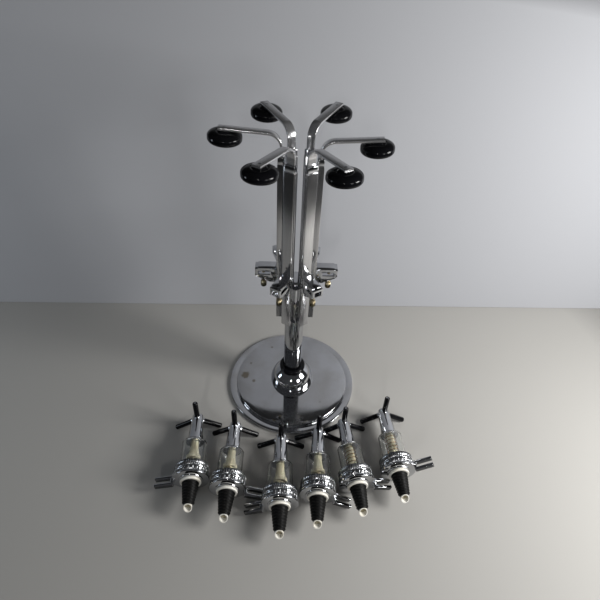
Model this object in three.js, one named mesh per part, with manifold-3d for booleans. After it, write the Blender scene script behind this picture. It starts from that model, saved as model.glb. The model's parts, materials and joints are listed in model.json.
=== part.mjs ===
// A rotary bar stand for six upturned spirit bottles, with its six spirit measures lying in front of it.
// Lengths are in millimetres and angles in degrees. +Z is up, the stand turns about the Z axis,
// and the origin is the middle of the base's underside.
import * as THREE from 'three';
import { mergeVertices } from 'three/addons/utils/BufferGeometryUtils.js';
import Module from 'manifold-3d';

const wasm = await Module();
wasm.setup();

// Fits and cuts
const fit_gap = 0.3;
const cut_overrun = 2;
const station_count = 6;

// Base: a weighted disc with a low lip round a raised, slightly crowned face
const base_radius = 117;
const lip_width = 13;
const lip_height = 5.5;
const lip_edge = 1.5;
const disc_height = 12;
const disc_crown = 1;
const disc_edge = 2;
const step_slope = 1.5;
const base_segments = 28;

// Hub: a chrome dome on the base, with the spindle that the column turns on
const dome_radius = 39;
const dome_flat_radius = 22;
const spindle_height = 60;
const spindle_chamfer = 2;
const dome_segments = 22;
const dome_steps = 5;

// Collar: the black bearing bush round the foot of the column
const collar_radius = 23;
const collar_height = 9;
const collar_taper = 1;
const collar_segments = 16;

// Column: a capped tube with a six-sided head brazed on, which carries the uprights
const column_radius = 16;
const column_wall = 1.8;
const column_top = 262;
const column_cap = 4;
const head_drop = 6;
const column_segments = 20;

// Uprights: rectangular tubes with a guide cap, in which the arms slide
const upright_face_radius = 30.5;
const upright_depth = 10;
const upright_width = 15;
const upright_wall = 1.2;
const upright_foot = 183;
const upright_length = 272;
const guide_height = 9;
const guide_inset = 0.4;
const rivet_hole_radius = 1.5;
const rivet_hole_height = 302;

// Clamp blocks: each takes the fork of one measure
const block_top = 286.5;
const block_width = 17;
const block_reach = 32.5;
const block_face_height = 15.5;
const block_root_height = 27;
const block_root_length = 10;
const block_plate_setback = 4.5;
const block_plate_thickness = 5.5;
const block_rim_drop = 1.5;
const pocket_height = 8;
const pocket_wall = 3;
const pocket_back = 5.5;
const window_margin = 4;
const window_inset = 0.8;

// Clamp screws: thumbscrews under the blocks
const screw_setback = 12.5;
const screw_shank_radius = 2.3;
const screw_neck_length = 13;
const knob_radius = 4.5;
const knob_length = 10.5;
const knob_collar_radius = 3.4;
const knob_collar_length = 4;
const knob_edge = 1;
const screw_segments = 8;

// Arms: flat bars that rise out of the uprights and bend outwards over the bottles. They rest a few
// millimetres above or below their mean height, station by station.
const arm_width = 12;
const arm_thickness = 3;
const arm_top = 491;
const arm_bend_radius = 18;
const arm_slope_degrees = 4;
const arm_reach = 104;
const arm_tail_length = 220;
const arm_bend_steps = 5;
const arm_rests = [-3, 6, 4, 5, 1, 0];

// Cups: black domed pads that press on the bottles' bases
const cup_circle_radius = 95;
const cup_radius = 22;
const cup_height = 15;
const cup_boss_radius = 7;
const cup_shoulder_height = 8;
const cup_foot_edge = 4;
const cup_dish_radius = 15;
const cup_dish_depth = 3;
const cup_segments = 12;
const cup_steps = 3;

// Measures: lengths along the axis, counted from the crossed rods at the outlet end
const rod_length = 46.5;
const rod_radius = 4.8;
const rod_segments = 8;
const rod_end_steps = 2;
const rod_count = 3;
const nose_length = 6;
const nose_radius = 9.3;
const nose_edge = 1.2;
const outlet_radius = 4;
const sleeve_length = 44;
const sleeve_radius = 12.8;
const sleeve_bore_start = 10;
const flange_radius = 14.2;
const flange_thickness = 3.5;
const sleeve_segments = 12;

const chamber_length = 42.5;
const chamber_radius = 20;
const chamber_wall = 1.6;
const chamber_shoulder = 4;
const chamber_set_back = 2;
const chamber_seat_depth = 15;
const chamber_segments = 12;
const chamber_steps = 2;

const knurl_length = 9.5;
const knurl_radius = 27;
const knurl_depth = 0.7;
const knurl_count = 20;
const ring_length = 9;
const ring_radius = 28.1;
const ring_depth = 1;
const ring_lobes = 16;
const plate_thickness = 3.5;
const plate_radius = 28.5;
const seat_length = 1.5;
const seat_radius = 19;
const plate_segments = 18;

const fork_width = 8;
const prong_thickness = 4.5;
const fork_root_length = 4;
const fork_clearance = 1;
const tongue_width = 12;

const valve_radius = 6.5;
const valve_bore = 4;
const valve_end = 20;
const valve_band_radius = 11.3;
const valve_band_length = 6;
const valve_band_set_back = 12.5;
const valve_flare_length = 16;
const spring_seat_radius = 12;
const spring_seat_thickness = 4;
const washer_radius = 16.5;
const washer_thickness = 3.5;
const washer_recess = 0.5;
const inlet_radius = 5;
const tip_radius = 6.4;
const tip_length = 8;
const tip_bore = 5.2;
const tip_floor = 1;
const tip_cut_degrees = 30;
const valve_segments = 10;

const stopper_length = 34.5;
const stopper_wide_radius = 13.3;
const stopper_narrow_radius = 8.8;
const rib_count = 8;
const rib_depth = 1.4;
const stopper_segments = 10;

const spring_radius = 9.4;
const spring_wire_radius = 0.6;
const spring_curls = 6;
const spring_steps = 8;
const spring_sides = 5;

// Where the measures lie. The row starts left of the base, and each gap between two plates leaves
// room for the forks that lie there. Distances ahead are shares of the base's radius, and a
// stagger of one keeps the crossed rods of two neighbours apart.
const row_start_share = -1.33;
const lay_gap = 0.9;
const measure_lays = [
  { room_share: 0, ahead_share: 0.894, staggers: 0, heading: -86.7, side: -1, droop: 9, spring: false },
  { room_share: 0, ahead_share: 0.931, staggers: 1, heading: -90.8, side: 1, droop: 17, spring: false },
  { room_share: 0.41, ahead_share: 1.12, staggers: 1, heading: -89.5, side: -1, droop: 20, spring: false },
  { room_share: 0, ahead_share: 1.08, staggers: 0, heading: -92.4, side: 1, droop: 24, spring: false },
  { room_share: 0.07, ahead_share: 0.924, staggers: 0, heading: -83.2, side: 1, droop: 14, spring: true },
  { room_share: 0.184, ahead_share: 0.738, staggers: 0, heading: -85.6, side: 1, droop: -26, spring: true },
];

// Heights and stations that follow from the sizes above
const hub_seat = disc_height + disc_crown;
const dome_flat_height = hub_seat + Math.sqrt(dome_radius ** 2 - dome_flat_radius ** 2);
const column_bore = column_radius - column_wall;
const spindle_radius = column_bore * Math.cos(Math.PI / column_segments) - fit_gap;
const upright_inner_radius = upright_face_radius - upright_depth;
const upright_middle_radius = upright_face_radius - upright_depth / 2;
const upright_top = upright_foot + upright_length;
const block_end_radius = upright_face_radius + block_reach;
const block_face_foot = block_top - block_face_height;
const block_root_foot = block_top - block_root_height;
const pocket_roof = block_top - block_plate_thickness;
const pocket_floor = pocket_roof - pocket_height;
const pocket_end_radius = upright_face_radius + pocket_back;
const screw_radius_out = block_end_radius - screw_setback;
const fork_gap = block_plate_thickness + fork_clearance;
const fork_reach = cup_circle_radius - pocket_end_radius - 2 * fork_clearance;
const flange_start = sleeve_length;
const flange_end = flange_start + flange_thickness;
const chamber_start = flange_end - chamber_set_back;
const knurl_start = flange_end + chamber_length;
const ring_start = knurl_start + knurl_length;
const plate_start = ring_start + ring_length;
const seat_start = plate_start + plate_thickness;
const seat_end = seat_start + seat_length;
const washer_start = seat_end + fit_gap;
const washer_end = washer_start + washer_thickness;
const washer_floor = washer_end - washer_recess;
const stopper_start = washer_floor + fit_gap;
const stopper_end = stopper_start + stopper_length;
const tip_start = stopper_end + fit_gap;
const tip_end = tip_start + tip_length;
const chamber_end = knurl_start + chamber_seat_depth;
const rod_drop = (rod_length - rod_radius) / 2 + rod_radius;
const lay_rise = Math.asin((plate_radius - rod_drop) / plate_start);

// Materials
function finish(name, colour, roughness, metalness, opacity = 1) {
  const material = new THREE.MeshStandardMaterial({ color: colour, roughness, metalness });
  material.name = name;
  material.opacity = opacity;
  material.transparent = opacity < 1;
  return material;
}
const chrome = finish('chrome', 0xc9ccd0, 0.08, 1);
const satin_aluminium = finish('satin_aluminium', 0xb4b6b8, 0.35, 1);
const black_plastic = finish('black_plastic', 0x0b0b0c, 0.2, 0);
const black_rubber = finish('black_rubber', 0x121213, 0.6, 0);
const ivory_plastic = finish('ivory_plastic', 0xe4dec4, 0.45, 0);
const clear_plastic = finish('clear_plastic', 0xdfe4e4, 0.12, 0, 0.35);
const brass = finish('brass', 0x8f7b4a, 0.3, 1);
const spring_steel = finish('spring_steel', 0x9a7a52, 0.35, 1);

// Solids: three.js geometry in and out of the boolean library
function solidOf(geometry) {
  const bare = geometry.clone();
  bare.deleteAttribute('normal');
  bare.deleteAttribute('uv');
  const merged = mergeVertices(bare);
  const vertProperties = new Float32Array(merged.attributes.position.array);
  const triVerts = new Uint32Array(merged.index.array);
  return new wasm.Manifold(new wasm.Mesh({ numProp: 3, vertProperties, triVerts }));
}

function geometryOf(solid) {
  const mesh = solid.getMesh();
  const geometry = new THREE.BufferGeometry();
  geometry.setAttribute('position', new THREE.BufferAttribute(mesh.vertProperties, 3));
  geometry.setIndex(new THREE.BufferAttribute(mesh.triVerts, 1));
  return geometry;
}

function joined(...geometries) {
  const [first, ...rest] = geometries.map(solidOf);
  return geometryOf(rest.reduce((whole, solid) => whole.add(solid), first));
}

function cut(geometry, ...cutters) {
  const whole = solidOf(geometry);
  return geometryOf(cutters.map(solidOf).reduce((rest, cutter) => rest.subtract(cutter), whole));
}

// A turned piece about +Z from [radius, height] points that run up its outside
function turned(profile, segments) {
  const points = profile.map(([radius, height]) => new THREE.Vector2(radius, height));
  return new THREE.LatheGeometry(points, segments).rotateX(Math.PI / 2);
}

// A turned piece with a bore: its profile runs up the outside, down the bore and closes on itself
function turnedRing(profile, segments) {
  return turned([...profile, profile[0]], segments);
}

// A quarter of an ellipse from a start point to an end point, both left in, bulging sideways first
// or upwards first
function quarter([r0, z0], [r1, z1], steps, sideways_first) {
  return Array.from({ length: steps + 1 }, (_, step) => {
    const turn = (Math.PI / 2) * (step / steps);
    const along = sideways_first ? Math.sin(turn) : 1 - Math.cos(turn);
    const up = sideways_first ? 1 - Math.cos(turn) : Math.sin(turn);
    return [r0 + (r1 - r0) * along, z0 + (z1 - z0) * up];
  });
}

// A box given by its lowest and highest corners
function boxBetween([x0, y0, z0], [x1, y1, z1]) {
  const box = new THREE.BoxGeometry(x1 - x0, y1 - y0, z1 - z0);
  return box.translate((x0 + x1) / 2, (y0 + y1) / 2, (z0 + z1) / 2);
}

// An outline in the plane of radius and height, given a width across it
function slabAcross(shape, width, curve_steps = 1) {
  const geometry = new THREE.ExtrudeGeometry(shape, {
    depth: width, bevelEnabled: false, steps: 1, curveSegments: curve_steps,
  });
  return geometry.rotateX(Math.PI / 2).translate(0, width / 2, 0);
}

// An outline in plan, raised from one height to another
function slabUp(shape, low, high, curve_steps = 1) {
  const geometry = new THREE.ExtrudeGeometry(shape, {
    depth: high - low, bevelEnabled: false, steps: 1, curveSegments: curve_steps,
  });
  return geometry.translate(0, 0, low);
}

function rod(radius, low, high, segments) {
  return turned([[0, low], [radius, low], [radius, high], [0, high]], segments);
}

// The corner radius of a faceted bore whose flats clear a round shaft by the fit gap
function clearBore(shaft_radius, segments) {
  return (shaft_radius + fit_gap) / Math.cos(Math.PI / segments);
}

function outline(points) {
  return new THREE.Shape(points.map(([x, y]) => new THREE.Vector2(x, y)));
}

// The toothed outline of a knurled or ribbed ring
function toothed(radius, depth, count) {
  const points = Array.from({ length: 2 * count }, (_, index) => {
    const turn = (Math.PI * index) / count;
    const reach = index % 2 === 0 ? radius : radius - depth;
    return [reach * Math.cos(turn), reach * Math.sin(turn)];
  });
  return outline(points);
}

// Base, hub and bearing
function basePlate() {
  const step_radius = base_radius - lip_width;
  return turned([
    [0, 0],
    [base_radius, 0],
    [base_radius, lip_height - lip_edge],
    [base_radius - lip_edge, lip_height],
    [step_radius, lip_height],
    [step_radius - step_slope, disc_height - disc_edge],
    [step_radius - step_slope - disc_edge, disc_height],
    [dome_radius, hub_seat],
    [0, hub_seat],
  ], base_segments);
}

function hubDome() {
  const flat_turn = Math.asin((dome_flat_height - hub_seat) / dome_radius);
  const arc = Array.from({ length: dome_steps + 1 }, (_, step) => {
    const turn = flat_turn * (step / dome_steps);
    return [dome_radius * Math.cos(turn), hub_seat + dome_radius * Math.sin(turn)];
  });
  const spindle_top = dome_flat_height + spindle_height;
  return turned([
    [0, hub_seat],
    ...arc,
    [spindle_radius, dome_flat_height],
    [spindle_radius, spindle_top - spindle_chamfer],
    [spindle_radius - spindle_chamfer, spindle_top],
    [0, spindle_top],
  ], dome_segments);
}

function bearingCollar() {
  const top = dome_flat_height + collar_height;
  const bore = clearBore(column_radius, collar_segments);
  return turnedRing([
    [bore, dome_flat_height],
    [collar_radius - collar_taper, dome_flat_height],
    [collar_radius, dome_flat_height + collar_taper],
    [collar_radius, top - collar_taper],
    [collar_radius - collar_taper, top],
    [bore, top],
  ], collar_segments);
}

// The carousel's column with its six-sided head
function column() {
  const foot = dome_flat_height + fit_gap;
  const tube = turned([
    [0, column_top - column_cap],
    [column_bore, column_top - column_cap],
    [column_bore, foot],
    [column_radius, foot],
    [column_radius, column_top],
    [0, column_top],
  ], column_segments);
  const flat_radius = upright_inner_radius - fit_gap;
  const corner_radius = flat_radius / Math.cos(Math.PI / station_count);
  const corners = Array.from({ length: station_count }, (_, index) => {
    const turn = (2 * Math.PI * (index + 0.5)) / station_count;
    return [corner_radius * Math.cos(turn), corner_radius * Math.sin(turn)];
  });
  const prism = slabUp(outline(corners), upright_foot, column_top - head_drop);
  const way = rod(column_radius - column_wall / 2, upright_foot - cut_overrun, column_top, column_segments);
  return joined(tube, cut(prism, way));
}

// A station's upright, built at azimuth zero: the tube, its guide cap and its clamp block
function upright() {
  const half_width = upright_width / 2;
  const tube = boxBetween(
    [upright_inner_radius, -half_width, upright_foot],
    [upright_face_radius, half_width, upright_top],
  );
  const inside = boxBetween(
    [upright_inner_radius + upright_wall, upright_wall - half_width, upright_foot - cut_overrun],
    [upright_face_radius - upright_wall, half_width - upright_wall, upright_top],
  );
  const guide = boxBetween(
    [upright_inner_radius + guide_inset, guide_inset - half_width, upright_top],
    [upright_face_radius - guide_inset, half_width - guide_inset, upright_top + guide_height],
  );
  const slot_half_depth = arm_thickness / 2 + fit_gap;
  const slot_half_width = arm_width / 2 + fit_gap;
  const slot_top = upright_top + guide_height + cut_overrun;
  const slot = boxBetween(
    [upright_middle_radius - slot_half_depth, -slot_half_width, upright_top - cut_overrun],
    [upright_middle_radius + slot_half_depth, slot_half_width, slot_top],
  );
  const rivet_hole = rod(rivet_hole_radius, 0, upright_depth / 2, rod_segments);
  rivet_hole.rotateY(Math.PI / 2).translate(upright_middle_radius, 0, rivet_hole_height);
  return cut(joined(cut(tube, inside, rivet_hole), cut(guide, slot), clampBlock()), inside, slot);
}

// The clamp block: a cast box, open outwards for one prong of a measure's fork, with a long window
// in each side and a tapered underside
function clampBlock() {
  const root = upright_face_radius - upright_wall / 2;
  const plate_end = block_end_radius - block_plate_setback;
  const profile = outline([
    [root, block_root_foot],
    [upright_face_radius + block_root_length, block_root_foot],
    [block_end_radius, block_face_foot],
    [block_end_radius, block_top - block_rim_drop],
    [plate_end, block_top - block_rim_drop],
    [plate_end, block_top],
    [root, block_top],
  ]);
  const pocket_half = block_width / 2 - pocket_wall;
  const pocket = boxBetween(
    [pocket_end_radius, -pocket_half, pocket_floor],
    [block_end_radius + cut_overrun, pocket_half, pocket_roof],
  );
  const window_box = boxBetween(
    [pocket_end_radius + window_margin, -block_width, pocket_floor + window_inset],
    [plate_end, block_width, pocket_roof - window_inset],
  );
  const screw_bore = clearBore(screw_shank_radius, screw_segments);
  const screw_way = rod(screw_bore, block_root_foot, (pocket_floor + pocket_roof) / 2, screw_segments);
  screw_way.translate(screw_radius_out, 0, 0);
  return cut(slabAcross(profile, block_width), pocket, window_box, screw_way);
}

function clampScrew() {
  const shank_top = pocket_floor - fit_gap;
  const knob_top = shank_top - screw_neck_length - knob_collar_length;
  const knob_foot = knob_top - knob_length;
  return turned([
    [0, knob_foot],
    [knob_radius - knob_edge, knob_foot],
    [knob_radius, knob_foot + knob_edge],
    [knob_radius, knob_top],
    [knob_collar_radius, knob_top],
    [knob_collar_radius, knob_top + knob_collar_length],
    [screw_shank_radius, knob_top + knob_collar_length],
    [screw_shank_radius, shank_top],
    [0, shank_top],
  ], screw_segments);
}

// The sliding arm: one flat bar, bent over a radius and rising a little towards its tip
const arm_slope = THREE.MathUtils.degToRad(arm_slope_degrees);
const arm_bend_centre = [
  upright_middle_radius + arm_bend_radius,
  arm_top - (arm_bend_radius + arm_thickness / 2) * Math.cos(arm_slope),
];
const arm_bend_end = Math.PI / 2 + arm_slope;

// The height of the arm's upper or lower face at a radius beyond the bend
function armFaceHeight(radius, face_offset) {
  const [centre_x, centre_z] = arm_bend_centre;
  const reach = arm_bend_radius + face_offset;
  const start_x = centre_x + reach * Math.cos(arm_bend_end);
  const start_z = centre_z + reach * Math.sin(arm_bend_end);
  return start_z + (radius - start_x) * Math.tan(arm_slope);
}

function slidingArm() {
  const half = arm_thickness / 2;
  const foot = arm_bend_centre[1] - arm_tail_length;
  const shape = new THREE.Shape();
  shape.moveTo(upright_middle_radius + half, foot);
  shape.lineTo(upright_middle_radius + half, arm_bend_centre[1]);
  shape.absarc(...arm_bend_centre, arm_bend_radius - half, Math.PI, arm_bend_end, true);
  shape.lineTo(arm_reach, armFaceHeight(arm_reach, -half));
  shape.lineTo(arm_reach, armFaceHeight(arm_reach, half));
  shape.absarc(...arm_bend_centre, arm_bend_radius + half, arm_bend_end, Math.PI, false);
  shape.lineTo(upright_middle_radius - half, foot);
  shape.closePath();
  return slabAcross(shape, arm_width, arm_bend_steps);
}

// The cup hangs under the arm: its top is at height zero
function bottleCup() {
  return turned([
    [0, cup_dish_depth - cup_height],
    [cup_dish_radius - cup_dish_depth, cup_dish_depth - cup_height],
    [cup_dish_radius, -cup_height],
    [cup_radius - cup_foot_edge, -cup_height],
    [cup_radius, cup_foot_edge - cup_height],
    ...quarter([cup_radius, -cup_shoulder_height], [cup_boss_radius, 0], cup_steps, false),
    [0, 0],
  ], cup_segments);
}

// The measure's pieces, all about +Z from the outlet end to the inlet tip
function actuator() {
  const sleeve_bore = clearBore(valve_radius, sleeve_segments);
  const sleeve = turnedRing([
    [outlet_radius, -nose_length],
    [nose_radius - nose_edge, -nose_length],
    [nose_radius, nose_edge - nose_length],
    [sleeve_radius, flange_start],
    [flange_radius, flange_start],
    [flange_radius, flange_end],
    [sleeve_bore, flange_end],
    [sleeve_bore, sleeve_bore_start],
    [outlet_radius, sleeve_bore_start],
  ], sleeve_segments);
  const bar_start = (outlet_radius + nose_radius) / 2;
  const bar = turned([
    [0, bar_start],
    [rod_radius, bar_start],
    ...quarter([rod_radius, rod_length - rod_radius], [0, rod_length], rod_end_steps, false),
  ], rod_segments);
  const bars = Array.from({ length: rod_count }, (_, index) => {
    const turn = Math.PI + (2 * Math.PI * index) / rod_count;
    return bar.clone().rotateY(Math.PI / 2).rotateZ(turn);
  });
  return joined(sleeve, ...bars);
}

function chamber() {
  const mouth = clearBore(flange_radius, chamber_segments);
  const inner = chamber_radius - chamber_wall;
  const shoulder = chamber_start + chamber_shoulder;
  return turnedRing([
    [mouth, chamber_start],
    ...quarter([mouth + chamber_wall, chamber_start], [chamber_radius, shoulder], chamber_steps, true),
    [chamber_radius, chamber_end],
    [inner, chamber_end],
    ...quarter([mouth, chamber_start + chamber_wall], [inner, shoulder], 1, true).reverse(),
  ], chamber_segments);
}

// The chrome collar: knurled ring, faceted ring, plate and the fork that clips to a clamp block
function measureCollar() {
  const knurled = slabUp(toothed(knurl_radius, knurl_depth, knurl_count), knurl_start, ring_start);
  const ring = slabUp(toothed(ring_radius, ring_depth, ring_lobes), ring_start, plate_start);
  const plate = rod(plate_radius, plate_start, seat_start, plate_segments);
  const seat = rod(seat_radius, seat_start - plate_thickness / 2, seat_end, chamber_segments);
  const fork_middle = plate_start + plate_thickness / 2;
  const fork_half = fork_gap / 2 + prong_thickness;
  const root_radius = fork_reach - (block_end_radius - pocket_end_radius) + fork_clearance;
  const wing_half = plate_radius * Math.sin(Math.PI / station_count);
  const wing = slabUp(outline([
    [0, -wing_half],
    [plate_radius * Math.cos(Math.PI / station_count), -wing_half],
    [root_radius, -tongue_width / 2],
    [root_radius, tongue_width / 2],
    [plate_radius * Math.cos(Math.PI / station_count), wing_half],
    [0, wing_half],
  ]), plate_start, seat_start);
  const fork = outline([
    [root_radius - fork_root_length, fork_middle - fork_half],
    [fork_reach, fork_middle - fork_half],
    [fork_reach, fork_middle - fork_gap / 2],
    [root_radius, fork_middle - fork_gap / 2],
    [root_radius, fork_middle + fork_gap / 2],
    [fork_reach, fork_middle + fork_gap / 2],
    [fork_reach, fork_middle + fork_half],
    [root_radius - fork_root_length, fork_middle + fork_half],
  ]);
  const chamber_way = rod(
    chamber_radius + fit_gap, knurl_start - cut_overrun, chamber_end + fit_gap, chamber_segments,
  );
  const valve_bore_radius = clearBore(valve_radius, valve_segments);
  const valve_way = rod(valve_bore_radius, knurl_start, seat_end + cut_overrun, valve_segments);
  const whole = joined(knurled, ring, plate, seat, wing, slabAcross(fork, fork_width));
  return cut(whole, chamber_way, valve_way);
}

// The white moulding: valve tube, washer and inlet tip. Most have a flared band part way along the
// chamber, and where a spring shows the tube stays slim up to the spring's seat. The washer has a
// rim for the bottle's lip round a shallow recess for the stopper.
function valve(has_spring) {
  const band_end = knurl_start - valve_band_set_back;
  const band_start = band_end - valve_band_length;
  const slim = [
    [valve_radius, knurl_start - spring_seat_thickness],
    [spring_seat_radius, knurl_start - spring_seat_thickness],
    [spring_seat_radius, knurl_start],
    [valve_radius, knurl_start],
  ];
  const flared = [
    [valve_radius, band_start - valve_flare_length],
    [(valve_radius + valve_band_radius) / 2, band_start],
    [valve_band_radius, band_start],
    [valve_band_radius, band_end],
    [valve_radius, band_end],
  ];
  const profile = turnedRing([
    [valve_bore, valve_end],
    [valve_radius, valve_end],
    ...(has_spring ? slim : flared),
    [valve_radius, washer_start],
    [washer_radius, washer_start],
    [washer_radius, washer_end],
    [stopper_wide_radius + fit_gap, washer_end],
    [stopper_wide_radius + fit_gap, washer_floor],
    [inlet_radius, washer_floor],
    [inlet_radius, tip_start],
    [tip_radius, tip_start],
    [tip_radius, tip_end],
    [tip_bore, tip_end],
    [tip_bore, tip_start + tip_floor],
    [valve_bore, tip_start + tip_floor],
  ], valve_segments);
  const knife = boxBetween([-tip_end, -tip_end, 0], [tip_end, tip_end, tip_end]);
  knife.rotateY(-THREE.MathUtils.degToRad(tip_cut_degrees)).translate(tip_radius, 0, tip_end);
  return cut(profile, knife);
}

function stopper() {
  const pitch = stopper_length / rib_count;
  const taper = (stopper_wide_radius - stopper_narrow_radius) / stopper_length;
  const ribs = Array.from({ length: rib_count }, (_, index) => {
    const low = pitch * index;
    const crest = stopper_wide_radius - taper * low;
    return [
      [crest, stopper_start + low],
      [crest - taper * pitch - rib_depth, stopper_start + low + pitch],
    ];
  }).flat();
  return turnedRing([
    [inlet_radius + fit_gap, stopper_start],
    ...ribs,
    [inlet_radius + fit_gap, stopper_end],
  ], stopper_segments);
}

// The return spring round the valve tube: one unbroken helix of wire
function springLine(step) {
  const start = flange_end + fit_gap + spring_wire_radius;
  const end = knurl_start - spring_seat_thickness - fit_gap - spring_wire_radius;
  const share = step / (spring_curls * spring_steps);
  const turn = (2 * Math.PI * step) / spring_steps;
  return new THREE.Vector3(
    spring_radius * Math.cos(turn), spring_radius * Math.sin(turn), start + (end - start) * share,
  );
}

function returnSpring() {
  const positions = [];
  const indices = [];
  const last = spring_curls * spring_steps;
  for (let step = 0; step <= last; step += 1) {
    const centre = springLine(step);
    const outward = new THREE.Vector3(centre.x, centre.y, 0).normalize();
    for (let side = 0; side < spring_sides; side += 1) {
      const turn = (2 * Math.PI * side) / spring_sides;
      const point = centre.clone().addScaledVector(outward, spring_wire_radius * Math.cos(turn));
      point.z += spring_wire_radius * Math.sin(turn);
      positions.push(point.x, point.y, point.z);
    }
  }
  for (let step = 0; step < last; step += 1) {
    for (let side = 0; side < spring_sides; side += 1) {
      const next_side = (side + 1) % spring_sides;
      const here = step * spring_sides;
      const there = here + spring_sides;
      indices.push(here + side, there + side, there + next_side);
      indices.push(here + side, there + next_side, here + next_side);
    }
  }
  for (let side = 1; side < spring_sides - 1; side += 1) {
    const end = last * spring_sides;
    indices.push(0, side, side + 1);
    indices.push(end, end + side + 1, end + side);
  }
  const geometry = new THREE.BufferGeometry();
  geometry.setAttribute('position', new THREE.Float32BufferAttribute(positions, 3));
  geometry.setIndex(indices);
  return geometry;
}

// The least gap between two turns of the spring, measured on its centre line
function springLeastGap() {
  const points = Array.from({ length: spring_curls * spring_steps + 1 }, (_, step) => springLine(step));
  let least = Infinity;
  points.forEach((point, index) => {
    for (let other = index + spring_steps / 2; other < points.length; other += 1) {
      least = Math.min(least, point.distanceTo(points[other]) - 2 * spring_wire_radius);
    }
  });
  return least;
}
console.log(`spring: least gap to itself ${springLeastGap().toFixed(2)} mm`);

// The scene: each sub-part is a named mesh, placed by its group
const dispenser = new THREE.Group();

function add(group, name, geometry, material) {
  const mesh = new THREE.Mesh(geometry, material);
  mesh.name = name;
  group.add(mesh);
  return mesh;
}

add(dispenser, 'base_plate', basePlate(), chrome);
add(dispenser, 'hub_dome', hubDome(), chrome);
add(dispenser, 'bearing_collar', bearingCollar(), black_plastic);
add(dispenser, 'column', column(), chrome);

const upright_geometry = upright();
const arm_geometry = slidingArm();
const cup_geometry = bottleCup();
const screw_geometry = clampScrew();
for (let station = 0; station < station_count; station += 1) {
  const number = station + 1;
  const post = new THREE.Group();
  post.rotation.z = (2 * Math.PI * station) / station_count;
  add(post, `upright_${number}`, upright_geometry, satin_aluminium);
  const slider = new THREE.Group();
  slider.position.z = arm_rests[station];
  post.add(slider);
  add(slider, `arm_${number}`, arm_geometry, satin_aluminium);
  const cup = add(slider, `cup_${number}`, cup_geometry, black_plastic);
  const seat_height = armFaceHeight(cup_circle_radius, -arm_thickness / 2);
  cup.rotation.y = -arm_slope;
  cup.position.set(cup_circle_radius, 0, seat_height - fit_gap);
  const screw = add(post, `clamp_screw_${number}`, screw_geometry, brass);
  screw.position.x = screw_radius_out;
  dispenser.add(post);
}

// The measures lie on two of their rods and the edge of their plate
const collar_geometry = measureCollar();
const chamber_geometry = chamber();
const stopper_geometry = stopper();
const actuator_geometry = actuator();
let row_x = base_radius * row_start_share;
measure_lays.forEach((lay, index) => {
  const number = index + 1;
  if (index > 0) row_x += 2 * plate_radius + lay_gap + fork_reach * lay.room_share;
  const stagger = lay.staggers * 2 * (rod_radius + fit_gap);
  const ahead = base_radius * lay.ahead_share + stagger + plate_start;
  const turned_to = new THREE.Group();
  turned_to.position.set(row_x, -ahead, plate_radius);
  turned_to.rotation.z = THREE.MathUtils.degToRad(lay.heading);
  const laid = new THREE.Group();
  laid.rotation.y = Math.PI / 2 - lay_rise;
  const axis = new THREE.Group();
  axis.position.z = -plate_start;
  const body = new THREE.Group();
  body.rotation.z = lay.side * THREE.MathUtils.degToRad(90 - lay.droop);
  turned_to.add(laid);
  laid.add(axis);
  axis.add(body);
  add(body, `measure_${number}_collar`, collar_geometry, chrome);
  add(body, `measure_${number}_chamber`, chamber_geometry, clear_plastic);
  add(axis, `measure_${number}_valve`, valve(lay.spring), ivory_plastic);
  add(axis, `measure_${number}_stopper`, stopper_geometry, black_rubber);
  add(axis, `measure_${number}_actuator`, actuator_geometry, chrome);
  if (lay.spring) add(axis, `measure_${number}_spring`, returnSpring(), spring_steel);
  dispenser.add(turned_to);
});

export default dispenser;
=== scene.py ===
"""A rotary bar stand for six upturned bottles, with its six spirit measures lying in front of it."""

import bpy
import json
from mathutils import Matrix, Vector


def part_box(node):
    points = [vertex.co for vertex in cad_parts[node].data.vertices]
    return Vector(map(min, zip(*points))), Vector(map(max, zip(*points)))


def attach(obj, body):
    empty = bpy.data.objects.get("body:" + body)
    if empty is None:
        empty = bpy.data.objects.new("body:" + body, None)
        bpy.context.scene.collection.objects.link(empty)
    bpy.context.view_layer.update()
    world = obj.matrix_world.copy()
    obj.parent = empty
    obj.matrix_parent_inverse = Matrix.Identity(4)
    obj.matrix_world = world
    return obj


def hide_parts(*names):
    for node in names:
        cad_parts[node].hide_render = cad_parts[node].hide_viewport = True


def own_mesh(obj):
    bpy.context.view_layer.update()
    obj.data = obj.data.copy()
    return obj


bl_info = {
    "name": "Rotary bar stand",
    "version": (1, 0, 0),
    "blender": (4, 5, 0),
    "location": "View3D > Sidebar > Bar stand",
    "description": "Dresses the packed bar stand and its spirit measures, and sets its stage",
    "category": "Object",
}

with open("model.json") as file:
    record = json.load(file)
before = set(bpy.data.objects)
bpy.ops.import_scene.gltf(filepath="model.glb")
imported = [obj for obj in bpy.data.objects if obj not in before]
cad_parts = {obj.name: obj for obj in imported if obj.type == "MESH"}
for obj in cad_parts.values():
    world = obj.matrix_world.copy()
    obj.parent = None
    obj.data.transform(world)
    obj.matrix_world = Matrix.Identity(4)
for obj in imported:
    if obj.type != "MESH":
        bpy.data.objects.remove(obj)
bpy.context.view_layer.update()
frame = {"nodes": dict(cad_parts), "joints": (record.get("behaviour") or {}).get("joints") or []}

import json
import math

import bmesh
import bpy
from mathutils import Matrix, Vector

STATIONS = range(1, 7)
MERGE_DISTANCE = 1e-6
FLAT_LIMIT = math.radians(0.5)
FIT_GAP = 0.0003
DOWN = Vector((0, 0, -1))
QUARTER = math.pi / 2

# Small steps that ease edges and set one form off from the next
HAIR_STEP = 0.0002
FINE_STEP = 0.0004
SMALL_STEP = 0.0006
BROAD_STEP = 0.0008

# How far a cutter reaches past the face that it opens
CUT_PAST = 0.002

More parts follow.
